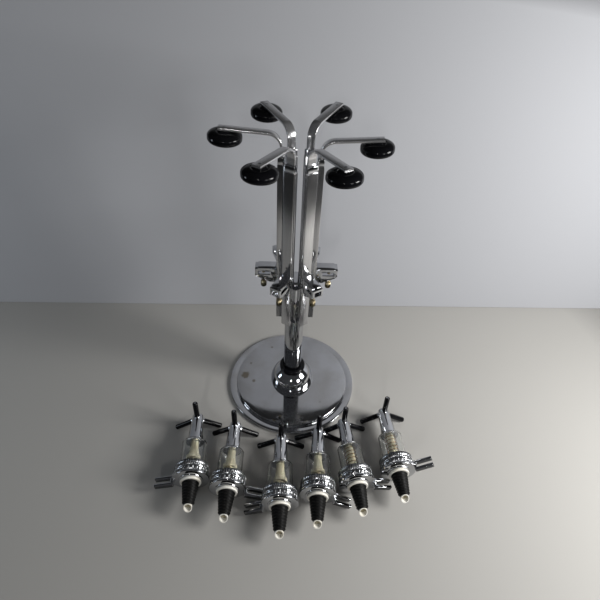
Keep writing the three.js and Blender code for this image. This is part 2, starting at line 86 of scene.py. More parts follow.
# The groove inside the lip: distance from the disc's step, and depth below the lip
LIP_GROOVE = ((0.0035, 0), (0.0018, 0.0005), (0.0004, 0.0006), (0, 0.0002))
# The disc's crown: distance from the dome, and share of the crown's rise
DISC_CROWN = (
    (0.055, -0.20), (0.047, 0.10), (0.038, 0.32), (0.028, 0.54), (0.016, 0.78), (0.006, 0.97), (0.002, 1),
)
# The hollow under a cup: radius, and height above the foot
CUP_HOLLOW = ((0, 0.003), (0.012, 0.003), (0.0148, 0.0004), (0.0155, 0))
# The shoulder of a cup, an ellipse's quarter: radius and height of its centre, and its rise
CUP_SHOULDER = (0.0105, -0.0082, 0.0066)
# The top of a cup inside the shoulder: radius, and depth below the arm
CUP_TOP = ((0.0108, 0.00155), (0.0100, 0.0019), (0.0094, 0.0018), (0.0078, 0.0004), (0.0070, 0), (0, 0))
# A rib of a stopper: depth below its crest, and height from its foot
RIB_CREST = ((0.0006, 0), (0.0001, 0.0005), (0, 0.0009), (0.0003, 0.0015))
# The groove after a rib: depth below its root, and distance from the next rib
RIB_GROOVE = ((0.0002, 0.0013), (0.0004, 0.0005), (0.0004, 0))
# The pin in a rod's end, as far as its dimple: radius, and depth below the rod's end
ROD_PIN = (
    (0, 0.002), (0.0021, 0.002), (0.0021, 0.0006), (0.0019, 0.0003),
    (0.0009, 0.0002), (0.0006, 0.0007), (0, 0.0008),
)

# The stage. The lamps: name, place, size, power and tint
LAMPS = (
    ("window_lamp", (0.92, -0.32, 0.60), (0.34, 0.42), 13.5, (1, 0.99, 0.97)),
    ("front_window_lamp", (0.80, -1.02, 0.58), (0.30, 0.30), 3.2, (1, 1, 1)),
    ("far_window_lamp", (-1.15, -0.20, 0.42), (0.20, 0.40), 1.6, (0.80, 0.90, 1)),
    ("ceiling_lamp", (-0.2, -2.0, 1.2), (0.07, 0.30), 5.0, (1, 0.99, 0.97)),
)
# How dark the floor and the backdrop are beyond the picture, painted shade that stands for the unlit room
DARK_SHARE = 0.04
PANEL_ROUGHNESS = 0.8
LAMP_AIM = Vector((0, -0.08, 0.15))
ROOM_TINT = (0.50, 0.51, 0.54, 1)
ROOM_STRENGTH = 0.10
FLOOR_SIZE = (11, 11)
FLOOR_FADE = (0.66, 0.98)
BACKDROP_SIZE = (6, 1.2)
BACKDROP_PLACE = (0, 0.2126, 0.0012)
BACKDROP_TURN = math.radians(1.15)
BACKDROP_LEAN = math.radians(82)
BACKDROP_WEIGHTS = (0.4, 0, 1)
BACKDROP_FADE = (0.60, 0.66)
CAMERA_PLACE = (-0.0148, -0.5726, 0.7467)
CAMERA_TILT, CAMERA_YAW, CAMERA_ROLL = (math.radians(degrees) for degrees in (42.87, 2.28, 3.00))
CAMERA_LENS = 28.8
CAMERA_SENSOR = 36
CAMERA_NEAR = 0.02


# Sizes and colours

def length(label, words, default):
    """A length in metres that the sidebar can change."""
    return bpy.props.FloatProperty(
        name=label, description=words, default=default, unit="LENGTH", precision=5,
    )


def angle(label, words, degrees):
    """An angle that the sidebar can change."""
    return bpy.props.FloatProperty(
        name=label, description=words, default=math.radians(degrees), subtype="ANGLE",
    )


def colour(label, words, default):
    """A colour that the sidebar can change."""
    return bpy.props.FloatVectorProperty(
        name=label, description=words, default=default, subtype="COLOR", size=3, min=0, max=1,
    )


def share(label, words, default):
    """A number from nought to one that the sidebar can change."""
    return bpy.props.FloatProperty(name=label, description=words, default=default, min=0, max=1)


def number(label, words, default):
    """A count that the sidebar can change."""
    return bpy.props.IntProperty(name=label, description=words, default=default, min=1)


class StandSizes(bpy.types.PropertyGroup):
    """Sizes of the stand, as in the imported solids."""

    base_radius: length("Base radius", "Outer radius of the base's lip", 0.117)
    lip_width: length("Lip width", "Width of the low lip round the disc", 0.013)
    lip_height: length("Lip height", "Height of the lip's top", 0.0055)
    disc_height: length("Disc height", "Height of the disc's edge", 0.012)
    disc_crown: length("Disc crown", "How far the disc rises to the dome", 0.001)
    dome_radius: length("Dome radius", "Radius of the half ball on the base", 0.039)
    dome_flat_radius: length("Dome flat radius", "Radius of the flat on the dome", 0.022)
    bush_radius: length("Bush radius", "Outer radius of the black bearing bush", 0.023)
    bush_height: length("Bush height", "Height of the black bearing bush", 0.009)
    column_radius: length("Column radius", "Outer radius of the column", 0.016)
    column_top: length("Column top", "Height of the column's cap", 0.262)
    head_drop: length("Head drop", "How far the six-sided head ends below the cap", 0.006)
    post_face_radius: length("Post face", "Distance from the axis to a post's outer face", 0.0305)
    post_depth: length("Post depth", "Depth of a post from front to back", 0.010)
    post_width: length("Post width", "Width of a post", 0.015)
    post_wall: length("Post wall", "Wall of a post", 0.0012)
    post_foot: length("Post foot", "Height of a post's lower end", 0.183)
    post_length: length("Post length", "Length of a post", 0.272)
    guide_height: length("Guide height", "Height of the guide on a post's top", 0.009)
    guide_inset: length("Guide inset", "Step from the post to its guide", 0.0004)
    rivet_radius: length("Rivet hole", "Radius of the hole above the block", 0.0015)
    rivet_height: length("Rivet height", "Height of the hole above the block", 0.302)
    block_top: length("Block top", "Height of a clamp block's top", 0.2865)
    block_width: length("Block width", "Width of a clamp block", 0.017)
    block_reach: length("Block reach", "How far a block stands out of its post", 0.0325)
    block_face_height: length("Block face", "Height of a block's outer end", 0.0155)
    block_root_height: length("Block root", "Height of a block at its post", 0.027)
    block_root_length: length("Block root length", "Length of the level part below", 0.010)
    block_setback: length("Block setback", "How far the roof plate ends inside the block", 0.0045)
    block_plate: length("Roof plate", "Thickness of a block's roof plate", 0.0055)
    block_rim_drop: length("Rim drop", "How far the rim lies below the roof plate", 0.0015)
    pocket_height: length("Pocket height", "Height of the pocket for a prong", 0.008)
    pocket_wall: length("Pocket wall", "Wall beside the pocket", 0.003)
    pocket_back: length("Pocket back", "Solid part between the post and the pocket", 0.0055)
    screw_setback: length("Screw setback", "Distance from a block's end to its screw", 0.0125)
    knob_radius: length("Knob radius", "Radius of a thumbscrew's knob", 0.0045)
    knob_length: length("Knob length", "Length of a thumbscrew's knob", 0.0105)
    arm_width: length("Arm width", "Width of an arm", 0.012)
    arm_thickness: length("Arm thickness", "Thickness of an arm", 0.003)
    arm_top: length("Arm top", "Height of an arm's top at its bend", 0.491)
    arm_bend: length("Arm bend", "Radius of the bend at the arm's middle", 0.018)
    arm_slope: angle("Arm slope", "Rise of an arm towards its tip", 4)
    arm_reach: length("Arm reach", "Distance from the axis to an arm's tip", 0.104)
    arm_tail: length("Arm tail", "Length of an arm below its bend", 0.220)
    cup_circle: length("Cup circle", "Distance from the axis to a cup's middle", 0.095)
    cup_radius: length("Cup radius", "Radius of a cup", 0.022)
    cup_height: length("Cup height", "Height of a cup", 0.015)


class MeasureSizes(bpy.types.PropertyGroup):
    """Sizes of a spirit measure, along its axis from the crossed rods."""

    rod_length: length("Rod length", "Distance from the axis to a rod's end", 0.0451)
    rod_radius: length("Rod radius", "Radius of a rod", 0.00447)
    nose_length: length("Nose length", "How far the nose stands before the rods", 0.006)
    nose_radius: length("Nose radius", "Radius of the nose", 0.0093)
    outlet_radius: length("Outlet radius", "Radius of the outlet", 0.004)
    sleeve_length: length("Sleeve length", "Length of the sleeve up to its flange", 0.044)
    sleeve_radius: length("Sleeve radius", "Radius of the sleeve at its flange", 0.0128)
    flange_radius: length("Flange radius", "Radius of the sleeve's flange", 0.0142)
    flange_thickness: length("Flange thickness", "Thickness of the flange", 0.0035)
    chamber_length: length("Chamber length", "Length from the flange to the knurl", 0.0425)
    chamber_radius: length("Chamber radius", "Outer radius of the chamber", 0.020)
    chamber_wall: length("Chamber wall", "Wall of the chamber", 0.0016)
    chamber_seat: length("Chamber seat", "How deep the chamber sits in the casting", 0.015)
    knurl_length: length("Knurl length", "Length of the knurled ring", 0.0095)
    knurl_radius: length("Knurl radius", "Radius of the knurled ring", 0.027)
    knurl_teeth: number("Knurl teeth", "Teeth round the knurled ring", 48)
    ring_length: length("Ring length", "Length of the lobed ring", 0.009)
    ring_radius: length("Ring radius", "Radius of the lobed ring", 0.0281)
    ring_lobes: number("Ring lobes", "Lobes round the ring", 24)
    plate_thickness: length("Plate thickness", "Thickness of the plate", 0.0035)
    plate_radius: length("Plate radius", "Radius of the plate", 0.0285)
    seat_length: length("Seat length", "Height of the seat on the plate", 0.0015)
    seat_radius: length("Seat radius", "Radius of the seat on the plate", 0.019)
    fork_width: length("Fork width", "Width of the fork", 0.008)
    prong_thickness: length("Prong thickness", "Thickness of a prong", 0.0045)
    fork_gap: length("Fork gap", "Gap between the prongs", 0.0065)
    fork_root: length("Fork root", "Distance from the axis to the gap's root", 0.031)
    fork_reach: length("Fork reach", "Distance from the axis to the prongs' ends", 0.057)
    tongue_width: length("Tongue width", "Width of the plate at the fork", 0.012)
    valve_radius: length("Valve radius", "Radius of the valve tube", 0.0065)
    valve_bore: length("Valve bore", "Bore of the valve tube", 0.004)
    valve_start: length("Valve start", "Where the valve tube starts in the sleeve", 0.020)
    band_radius: length("Band radius", "Radius of the band on the valve tube", 0.0113)
    band_length: length("Band length", "Length of the band", 0.006)
    band_set_back: length("Band set-back", "Distance from the band to the casting", 0.0125)
    flare_length: length("Flare length", "Length of the flare before the band", 0.016)
    spring_seat_radius: length("Spring seat radius", "Radius of the spring's seat", 0.012)
    spring_seat_depth: length("Spring seat depth", "Thickness of the spring's seat", 0.004)
    washer_radius: length("Washer radius", "Radius of the washer", 0.0165)
    washer_thickness: length("Washer thickness", "Thickness of the washer", 0.0035)
    washer_recess: length("Washer recess", "Depth of the washer's recess for the stopper", 0.0005)
    inlet_radius: length("Inlet radius", "Radius of the tube in the stopper", 0.005)
    tip_radius: length("Tip radius", "Radius of the inlet tip", 0.0064)
    tip_length: length("Tip length", "Length of the inlet tip", 0.008)
    tip_bore: length("Tip bore", "Radius of the inlet tip's mouth", 0.0052)
    tip_floor: length("Tip floor", "Thickness of the inlet tip's floor", 0.001)
    tip_cut: angle("Tip cut", "Slant of the inlet tip's end", 30)
    stopper_length: length("Stopper length", "Length of the ribbed stopper", 0.0345)
    stopper_wide: length("Stopper wide end", "Radius of the stopper at the washer", 0.0133)
    stopper_narrow: length("Stopper narrow end", "Radius of the stopper at its tip", 0.0088)
    stopper_ribs: number("Stopper ribs", "Ribs on the stopper", 8)
    rib_depth: length("Rib depth", "Depth of a rib", 0.0014)
    spring_radius: length("Spring radius", "Radius of the spring's line", 0.0094)
    wire_radius: length("Wire radius", "Radius of the spring's wire", 0.0006)
    stroke: length("Stroke", "How far a glass pushes the plunger", 0.006)
    spring_curls: number("Spring curls", "Curls of the spring", 6)


class FinishColours(bpy.types.PropertyGroup):
    """Base colours of the finishes and of the stage."""

    chrome: colour("Chrome", "Colour of the plating", (0.56, 0.57, 0.59))
    aluminium: colour("Aluminium", "Colour of the drawn aluminium", (0.63, 0.63, 0.64))
    black_plastic: colour("Black plastic", "Colour of the glossy black mouldings", (0.004, 0.004, 0.005))
    rubber: colour("Rubber", "Colour of the stoppers", (0.002, 0.002, 0.002))
    ivory: colour("Ivory plastic", "Colour of the valves and washers", (0.76, 0.745, 0.69))
    clear: colour("Clear plastic", "Tint of the chambers", (0.955, 0.965, 0.955))
    brass: colour("Brass", "Colour of the thumbscrews", (0.33, 0.28, 0.18))
    spring: colour("Spring", "Colour of the spring wire", (0.30, 0.20, 0.12))
    stain: colour("Stain", "Colour of the stains on the base", (0.20, 0.16, 0.10))
    floor: colour("Floor", "Colour of the floor", (0.36, 0.352, 0.335))
    backdrop: colour("Backdrop", "Colour of the backdrop", (0.355, 0.362, 0.384))
    wear: share("Wear", "How worn the finishes are", 0.5)


def measure_stations(sizes):
    """Distances along a measure's axis that follow from its sizes."""
    flange_end = sizes.sleeve_length + sizes.flange_thickness
    knurl_start = flange_end + sizes.chamber_length
    ring_start = knurl_start + sizes.knurl_length
    plate_start = ring_start + sizes.ring_length
    seat_start = plate_start + sizes.plate_thickness
    seat_end = seat_start + sizes.seat_length
    washer_end = seat_end + FIT_GAP + sizes.washer_thickness
    washer_floor = washer_end - sizes.washer_recess
    stopper_end = washer_floor + FIT_GAP + sizes.stopper_length
    return {
        "flange_start": sizes.sleeve_length,
        "flange_end": flange_end,
        "chamber_start": flange_end - 0.002,
        "chamber_end": knurl_start + sizes.chamber_seat,
        "knurl_start": knurl_start,
        "ring_start": ring_start,
        "plate_start": plate_start,
        "seat_start": seat_start,
        "seat_end": seat_end,
        "washer_start": seat_end + FIT_GAP,
        "washer_end": washer_end,
        "washer_floor": washer_floor,
        "stopper_start": washer_floor + FIT_GAP,
        "stopper_end": stopper_end,
        "tip_start": stopper_end + FIT_GAP,
        "tip_end": stopper_end + FIT_GAP + sizes.tip_length,
    }


# Places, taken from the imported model

def station_place(station):
    """The turn that carries a piece from azimuth nought to its station."""
    return Matrix.Rotation(math.tau * (station - 1) / len(STATIONS), 4, "Z")


def arm_place(station):
    """A station's turn, raised by as much as its packed arm stands above the mean height."""
    s = bpy.context.scene.stand_sizes
    top = STAND_OT_arms.face_height(s.arm_reach, s.arm_thickness / 2, STAND_OT_arms.bend_centre(s), s)
    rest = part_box(f"arm_{station}")[1][2] - top
    return Matrix.Translation((0, 0, rest)) @ station_place(station)


def corner_set(node):
    """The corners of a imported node, each once."""
    mesh = frame["nodes"][node].data
    return [Vector(corner) for corner in {tuple(round(x, 6) for x in v.co) for v in mesh.vertices}]


def measure_axis(number):
    """The start of a measure's axis, at its crossed rods, and its direction to the inlet."""
    joint = next(j for j in frame["joints"] if j["name"] == f"measure_{number}_push")
    direction = Vector(joint["axis"]).normalized()
    corners = corner_set(f"measure_{number}_stopper")
    middle = sum(corners, Vector()) / len(corners)
    start = measure_stations(bpy.context.scene.measure_sizes)["stopper_start"]
    along = min(corner.dot(direction) for corner in corners) - start
    return middle + direction * (along - middle.dot(direction)), direction


def measure_place(number, towards_fork=False):
    """A measure's place: +Z runs to the inlet, and +X points down or along the fork."""
    start, direction = measure_axis(number)
    aim = DOWN
    if towards_fork:
        beyond_root = 0.01
        far = bpy.context.scene.measure_sizes.fork_root + beyond_root
        spokes = [corner - start for corner in corner_set(f"measure_{number}_collar")]
        spokes = [spoke - direction * spoke.dot(direction) for spoke in spokes]
        aim = sum((spoke for spoke in spokes if spoke.length > far), Vector())
    across = (aim - direction * aim.dot(direction)).normalized()
    side = direction.cross(across)
    turn = Matrix((across, side, direction)).transposed().to_4x4()
    return Matrix.Translation(start) @ turn


# Shells: closed skins made with the mesh operators

def arc(centre, radius, start, end, steps):
    """Radius and height points along an arc, its ends included. Angles are in degrees."""
    turns = [math.radians(start + (end - start) * step / steps) for step in range(steps + 1)]
    return [(centre[0] + radius * math.cos(t), centre[1] + radius * math.sin(t)) for t in turns]


def turned(profile, steps, hollow=False):
    """A shell spun about Z from radius and height points; a hollow one closes on itself."""
    shell = bmesh.new()
    verts = [shell.verts.new((radius, 0, height)) for radius, height in profile]
    edges = [shell.edges.new(pair) for pair in zip(verts, verts[1:])]
    if hollow:
        edges.append(shell.edges.new((verts[-1], verts[0])))
    bmesh.ops.spin(
        shell, geom=verts + edges, cent=(0, 0, 0), axis=(0, 0, 1), dvec=(0, 0, 0),
        angle=math.tau, steps=steps, use_merge=True,
    )
    bmesh.ops.remove_doubles(shell, verts=shell.verts, dist=MERGE_DISTANCE)
    bmesh.ops.recalc_face_normals(shell, faces=shell.faces)
    return shell


def drawn_out(shell, faces, move):
    """Extrudes faces by a move, and gives the faces and the corners at the new end."""
    made = bmesh.ops.extrude_face_region(shell, geom=faces)["geom"]
    corners = [item for item in made if isinstance(item, bmesh.types.BMVert)]
    bmesh.ops.translate(shell, vec=move, verts=corners)
    return [item for item in made if isinstance(item, bmesh.types.BMFace)], corners


def prism(points, depth):
    """A shell of x, z corner points carried across Y, centred on it."""
    shell = bmesh.new()
    face = shell.faces.new([shell.verts.new((x, -depth / 2, z)) for x, z in points])
    drawn_out(shell, [face], (0, depth, 0))
    bmesh.ops.recalc_face_normals(shell, faces=shell.faces)
    return shell


def block(low, high):
    """A box shell between two corners."""
    shell = bmesh.new()
    bmesh.ops.create_cube(shell, size=1)
    low, high = Vector(low), Vector(high)
    shell.transform(Matrix.Translation((low + high) / 2) @ Matrix.Diagonal((*(high - low), 1)))
    return shell


def softened(shell, width, limit=35, segments=2):
    """The shell with its sharp edges rounded by a width."""
    bmesh.ops.dissolve_limit(
        shell, angle_limit=FLAT_LIMIT, verts=shell.verts, edges=shell.edges,
        use_dissolve_boundaries=False,
    )
    sharp = [e for e in shell.edges if e.calc_face_angle(0) > math.radians(limit)]
    bmesh.ops.bevel(
        shell, geom=sharp, offset=width, offset_type="OFFSET", affect="EDGES",
        segments=segments, profile=0.5, material=-1, clamp_overlap=True,
    )
    return shell


def as_object(shell):
    """A passing object that holds a shell, so that modifiers can work on it."""
    mesh = bpy.data.meshes.new("passing")
    shell.to_mesh(mesh)
    shell.free()
    thing = bpy.data.objects.new("passing", mesh)
    bpy.context.scene.collection.objects.link(thing)
    return thing


def carved(shell, *cutters):
    """The shell less its cutters, worked out with exact booleans."""
    body, *tools = [as_object(each) for each in (shell, *cutters)]
    for tool in tools:
        cut = body.modifiers.new("cut", "BOOLEAN")
        cut.object = tool
        cut.operation = "DIFFERENCE"
        cut.solver = "EXACT"
    result = bmesh.new()
    result.from_object(body, bpy.context.evaluated_depsgraph_get())
    for thing in (body, *tools):
        bpy.data.meshes.remove(thing.data)
    return result


def toothed_ring(radius, bore, low, high, count, depth, flat, steps, edge):
    """A ring with flat-topped teeth round its outside, eased at both rims, its grooves numbered 1 for a
    finish of painted shade.
    """
    shell = bmesh.new()
    segments = count * steps
    outer = bmesh.ops.create_circle(shell, radius=radius, segments=segments)["verts"]
    inner = bmesh.ops.create_circle(shell, radius=bore, segments=segments)["verts"]
    for corner in outer:
        turn = math.atan2(corner.co.y, corner.co.x)
        reach = min(1, abs(math.cos(count * turn / 2)) / (1 - flat))
        corner.co.xy *= 1 - depth * (1 - reach) / radius
    bmesh.ops.translate(shell, vec=(0, 0, low), verts=outer + inner)
    faces = bmesh.ops.bridge_loops(shell, edges=shell.edges[:])["faces"]
    rim = [e for e in shell.edges if all(v in set(outer) for v in e.verts)]
    for rise, draw in ((edge, 1), (high - low - 2 * edge, 1), (edge, 1 - edge / radius)):
        faces, corners = drawn_out(shell, faces, (0, 0, rise))
        for corner in corners:
            if corner.co.xy.length > (radius + bore) / 2:
                corner.co.xy *= draw
    for corner in {corner for each in rim if each.is_valid for corner in each.verts}:
        corner.co.xy *= 1 - edge / radius
    bmesh.ops.recalc_face_normals(shell, faces=shell.faces)
    # Groove walls are numbered 1, so they take the next finish, which paints shade into them.
    for face in shell.faces:
        reach = face.calc_center_median().xy.length
        in_groove = radius - depth < reach < radius - 0.3 * depth
        face.material_index = int(in_groove and abs(face.normal.z) < 0.5)
    return shell


def add_shell(piece, shell, place=None, finish=0):
    """Puts a shell into a piece's mesh at its place, with the finish of that number."""
    if place is not None:
        shell.transform(place)
    for face in shell.faces:
        face.material_index += finish
    passing = bpy.data.meshes.new("passing")
    shell.to_mesh(passing)
    shell.free()
    piece.from_mesh(passing)
    bpy.data.meshes.remove(passing)


def make_piece(name, shells, materials, body, nodes=(), place=None, crease=32):
    """A finished piece of the object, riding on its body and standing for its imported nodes."""
    whole = bmesh.new()
    for shell, finish in shells:
        add_shell(whole, shell.copy(), place, finish)
    for face in whole.faces:
        face.smooth = True
    for edge in whole.edges:
        edge.smooth = edge.calc_face_angle(0) < math.radians(crease)
    mesh = bpy.data.meshes.new(name)
    whole.to_mesh(mesh)
    whole.free()
    for material in materials:
        mesh.materials.append(material)
    piece = bpy.data.objects.new(name, mesh)
    bpy.context.scene.collection.objects.link(piece)
    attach(piece, body)
    if nodes:
        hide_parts(*nodes)
    return piece


# Materials

def group_socket(group, name, kind, way, default=None):
    """Adds a socket to a node group's interface."""
    socket = group.interface.new_socket(name=name, in_out=way, socket_type=kind)
    if default is not None:
        socket.default_value = default


def effect_group(name, inputs, build):
    """A node group that puts out one mask, made once and shared by the materials."""
    if name in bpy.data.node_groups:
        return bpy.data.node_groups[name]
    group = bpy.data.node_groups.new(name, "ShaderNodeTree")
    group_socket(group, "Vector", "NodeSocketVector", "INPUT")
    for label, default in inputs:
        group_socket(group, label, "NodeSocketFloat", "INPUT", default)
    group_socket(group, "Mask", "NodeSocketFloat", "OUTPUT")
    entry = group.nodes.new("NodeGroupInput")
    leave = group.nodes.new("NodeGroupOutput")
    group.links.new(build(group, entry), leave.inputs["Mask"])
    return group


def math_node(tree, operation, first, second):
    """A maths node over two values or sockets, and its output."""
    node = tree.nodes.new("ShaderNodeMath")
    node.operation = operation
    for socket, value in zip(node.inputs, (first, second)):
        if isinstance(value, (int, float)):
            socket.default_value = value
        else:
            tree.links.new(value, socket)
    return node.outputs[0]


def stretched_noise(tree, vector, scale, stretch, detail):
    """Noise over coordinates that are stretched by three factors, and its output."""
    mapping = tree.nodes.new("ShaderNodeMapping")
    mapping.inputs["Scale"].default_value = stretch
    noise = tree.nodes.new("ShaderNodeTexNoise")
    noise.inputs["Detail"].default_value = detail
    tree.links.new(vector, mapping.inputs["Vector"])
    tree.links.new(mapping.outputs[0], noise.inputs["Vector"])
    tree.links.new(scale, noise.inputs["Scale"])
    return noise.outputs["Fac"]


def fitted_range(tree, value, low, high, to_low=0.0, to_high=1.0):
    """A clamped map range over a value, and its output."""
    node = tree.nodes.new("ShaderNodeMapRange")
    node.inputs["From Min"].default_value = low
    node.inputs["From Max"].default_value = high
    node.inputs["To Min"].default_value = to_low
    node.inputs["To Max"].default_value = to_high
    tree.links.new(value, node.inputs["Value"])
    return node.outputs["Result"]


def build_hairlines(tree, entry):
    """Fine scratches in two directions."""
    vector, scale = entry.outputs["Vector"], entry.outputs["Scale"]
    first = stretched_noise(tree, vector, scale, (1, 0.05, 0.3), 2)
    second = stretched_noise(tree, vector, scale, (0.06, 1, 0.2), 2)
    lines = math_node(
        tree, "MAXIMUM", fitted_range(tree, first, 0.68, 0.74), fitted_range(tree, second, 0.68, 0.74),
    )
    return math_node(tree, "MULTIPLY", lines, entry.outputs["Amount"])


def build_smudges(tree, entry):
    """Soft patches, as of handling and dried drops."""
    noise = stretched_noise(tree, entry.outputs["Vector"], entry.outputs["Scale"], (1, 1, 1), 5)
    return math_node(tree, "MULTIPLY", fitted_range(tree, noise, 0.42, 0.72), entry.outputs["Amount"])


def build_grain(tree, entry):
    """Drawn grain along Z."""
    vector, scale = entry.outputs["Vector"], entry.outputs["Scale"]
    fine = stretched_noise(tree, vector, scale, (1, 1, 0.012), 4)
    return math_node(tree, "MULTIPLY", fine, entry.outputs["Amount"])


def build_specks(tree, entry):
    """Small scattered spots, as of pitting and dust."""
    cells = tree.nodes.new("ShaderNodeTexVoronoi")
    tree.links.new(entry.outputs["Vector"], cells.inputs["Vector"])
    tree.links.new(entry.outputs["Scale"], cells.inputs["Scale"])
    dots = fitted_range(tree, cells.outputs["Distance"], 0.10, 0.16, 1, 0)
    patches = stretched_noise(tree, entry.outputs["Vector"], entry.outputs["Scale"], (0.3, 0.3, 0.3), 2)
    chosen = math_node(tree, "MULTIPLY", dots, fitted_range(tree, patches, 0.55, 0.62))
    return math_node(tree, "MULTIPLY", chosen, entry.outputs["Amount"])


def build_blotch(tree, entry):
    """A ragged patch round the coordinates' origin; its radius is one over the scale."""
    vector, scale = entry.outputs["Vector"], entry.outputs["Scale"]
    distance = tree.nodes.new("ShaderNodeVectorMath")
    distance.operation = "LENGTH"
    tree.links.new(vector, distance.inputs[0])
    reach = math_node(tree, "MULTIPLY", scale, distance.outputs["Value"])
    ragged = math_node(tree, "ADD", reach, stretched_noise(tree, vector, scale, (2, 2, 2), 5))
    return math_node(tree, "MULTIPLY", fitted_range(tree, ragged, 1.1, 1.5, 1, 0), entry.outputs["Amount"])


EFFECTS = {
    "blotch": build_blotch,
    "hairlines": build_hairlines,
    "smudges": build_smudges,
    "drawn_grain": build_grain,
    "specks": build_specks,
}


def new_material(name):
    """An empty material with its node tree and its Principled shader."""
    material = bpy.data.materials.new(name)
    material.use_nodes = True
    tree = material.node_tree
    return material, tree, tree.nodes["Principled BSDF"]


def coordinates(tree, source="Object"):
    """The material's coordinates."""
    found = [n for n in tree.nodes if n.type == "TEX_COORD"]
    node = found[0] if found else tree.nodes.new("ShaderNodeTexCoord")
    return node.outputs[source]


def effect(tree, name, scale, amount, source="Object", about=(0, 0, 0)):
    """Places a shared effect in a material about a point, and gives its mask."""
    node = tree.nodes.new("ShaderNodeGroup")
    node.node_tree = effect_group(name, (("Scale", 1.0), ("Amount", 1.0)), EFFECTS[name])
    node.inputs["Scale"].default_value = scale
    node.inputs["Amount"].default_value = amount
    mapping = tree.nodes.new("ShaderNodeMapping")
    mapping.inputs["Location"].default_value = [-length for length in about]
    tree.links.new(coordinates(tree, source), mapping.inputs["Vector"])
    tree.links.new(mapping.outputs[0], node.inputs["Vector"])
    return node.outputs["Mask"]


def scaled(base, factor):
    """A colour times a factor."""
    return tuple(factor * channel for channel in base)


def tinted(tree, shader, mask, base, tint):
    """Mixes the base colour towards a tint by a mask."""
    mix = tree.nodes.new("ShaderNodeMix")
    mix.data_type = "RGBA"
    mix.inputs["A"].default_value = (*base, 1)
    mix.inputs["B"].default_value = (*tint, 1)
    tree.links.new(mask, mix.inputs["Factor"])
    tree.links.new(mix.outputs["Result"], shader.inputs["Base Color"])
    return mix


def roughened(tree, shader, base, *masks):
    """Adds masks to a base roughness."""
    value = base
    for mask in masks:
        value = math_node(tree, "ADD", mask, value)
    tree.links.new(value, shader.inputs["Roughness"])


def bumped(tree, shader, height, strength, distance):
    """Lets a height tilt the surface."""
    bump = tree.nodes.new("ShaderNodeBump")
    bump.inputs["Strength"].default_value = strength
    bump.inputs["Distance"].default_value = distance
    tree.links.new(height, bump.inputs["Height"])
    tree.links.new(bump.outputs["Normal"], shader.inputs["Normal"])


# The base's stains: place, radius and strength
BASE_STAINS = (
    ((-0.0887, 0.0038, 0.0126), 0.0095, 0.8),
    ((-0.0719, -0.0100, 0.0126), 0.0040, 0.7),
    ((-0.0800, 0.0330, 0.0126), 0.0032, 0.6),
    ((-0.0407, 0.0755, 0.0126), 0.0030, 0.6),
    ((0.0520, -0.0550, 0.0126), 0.0028, 0.4),
)


def chrome_material(name, roughness, lightness=1, stain_and_shade=False):
    """Bright plating with hairlines and smudges; the base's also has stains."""
    material, tree, shader = new_material(name)
    colours = bpy.context.scene.finish_colours
    base = scaled(colours.chrome, lightness)
    shader.inputs["Metallic"].default_value = 1
    smudges = effect(tree, "smudges", 38, 0.16 * colours.wear)
    hairlines = effect(tree, "hairlines", 420, 0.12 * colours.wear)
    roughened(tree, shader, roughness, smudges, hairlines)
    bumped(tree, shader, effect(tree, "hairlines", 260, 0.5), 0.05, 0.0002)
    # On the base these are real stains, with no painted shade.
    if stain_and_shade:
        stains = effect(tree, "smudges", 24, 0.25)
        for point, radius, strength in BASE_STAINS:
            stain = effect(tree, "blotch", 1 / radius, strength, about=point)
            stains = math_node(tree, "MAXIMUM", stain, stains)
        tinted(tree, shader, stains, base, tuple(colours.stain))
    else:
        tinted(tree, shader, effect(tree, "smudges", 90, 0.6), base, scaled(base, 0.8))
    return material


def painted_shade_chrome_material():
    """A dark copy of the plating: painted shade for narrow grooves and for the prongs' faces towards the
    inlet.
    """
    material, tree, shader = new_material("painted_shade_chrome")
    # The whole colour, with its darker patches, is painted shade.
    base = scaled(bpy.context.scene.finish_colours.chrome, 0.22)
    shader.inputs["Metallic"].default_value = 1
    tinted(tree, shader, effect(tree, "smudges", 420, 1), base, scaled(base, 0.5))
    roughened(tree, shader, 0.35, effect(tree, "smudges", 300, 0.2))
    return material


def aluminium_material():
    """Drawn aluminium with its grain along the posts."""
    material, tree, shader = new_material("drawn_aluminium")
    base = tuple(bpy.context.scene.finish_colours.aluminium)
    shader.inputs["Metallic"].default_value = 0.95
    grain = effect(tree, "drawn_grain", 2600, 1)
    tinted(tree, shader, fitted_range(tree, grain, 0.35, 0.7), base, scaled(base, 0.78))
    lines = fitted_range(tree, grain, 0.3, 0.7, 0, 0.08)
    roughened(tree, shader, 0.09, lines, effect(tree, "smudges", 30, 0.06))
    bumped(tree, shader, grain, 0.06, 0.0001)
    return material


def arm_material():
    """The arms' aluminium, with its grain along each bar's own length."""
    material, tree, shader = new_material("bent_bar_aluminium")
    base = tuple(bpy.context.scene.finish_colours.aluminium)
    shader.inputs["Metallic"].default_value = 0.84
    grain = effect(tree, "drawn_grain", 2600, 1, "UV")
    tinted(tree, shader, fitted_range(tree, grain, 0.35, 0.7), base, scaled(base, 0.8))
    roughened(tree, shader, 0.14, fitted_range(tree, grain, 0.3, 0.7, 0, 0.12))
    bumped(tree, shader, grain, 0.08, 0.0001)
    return material


def gloss_black_material():
    """Moulded black plastic with a coat-like gloss and a little dust."""
    material, tree, shader = new_material("gloss_black_plastic")
    base = tuple(bpy.context.scene.finish_colours.black_plastic)
    shader.inputs["Specular IOR Level"].default_value = 0.2
    tinted(tree, shader, effect(tree, "specks", 340, 0.25), base, (0.09, 0.086, 0.082))
    roughened(tree, shader, 0.09, effect(tree, "smudges", 55, 0.12), effect(tree, "hairlines", 500, 0.08))
    bumped(tree, shader, effect(tree, "smudges", 900, 1), 0.03, 0.0002)
    return material


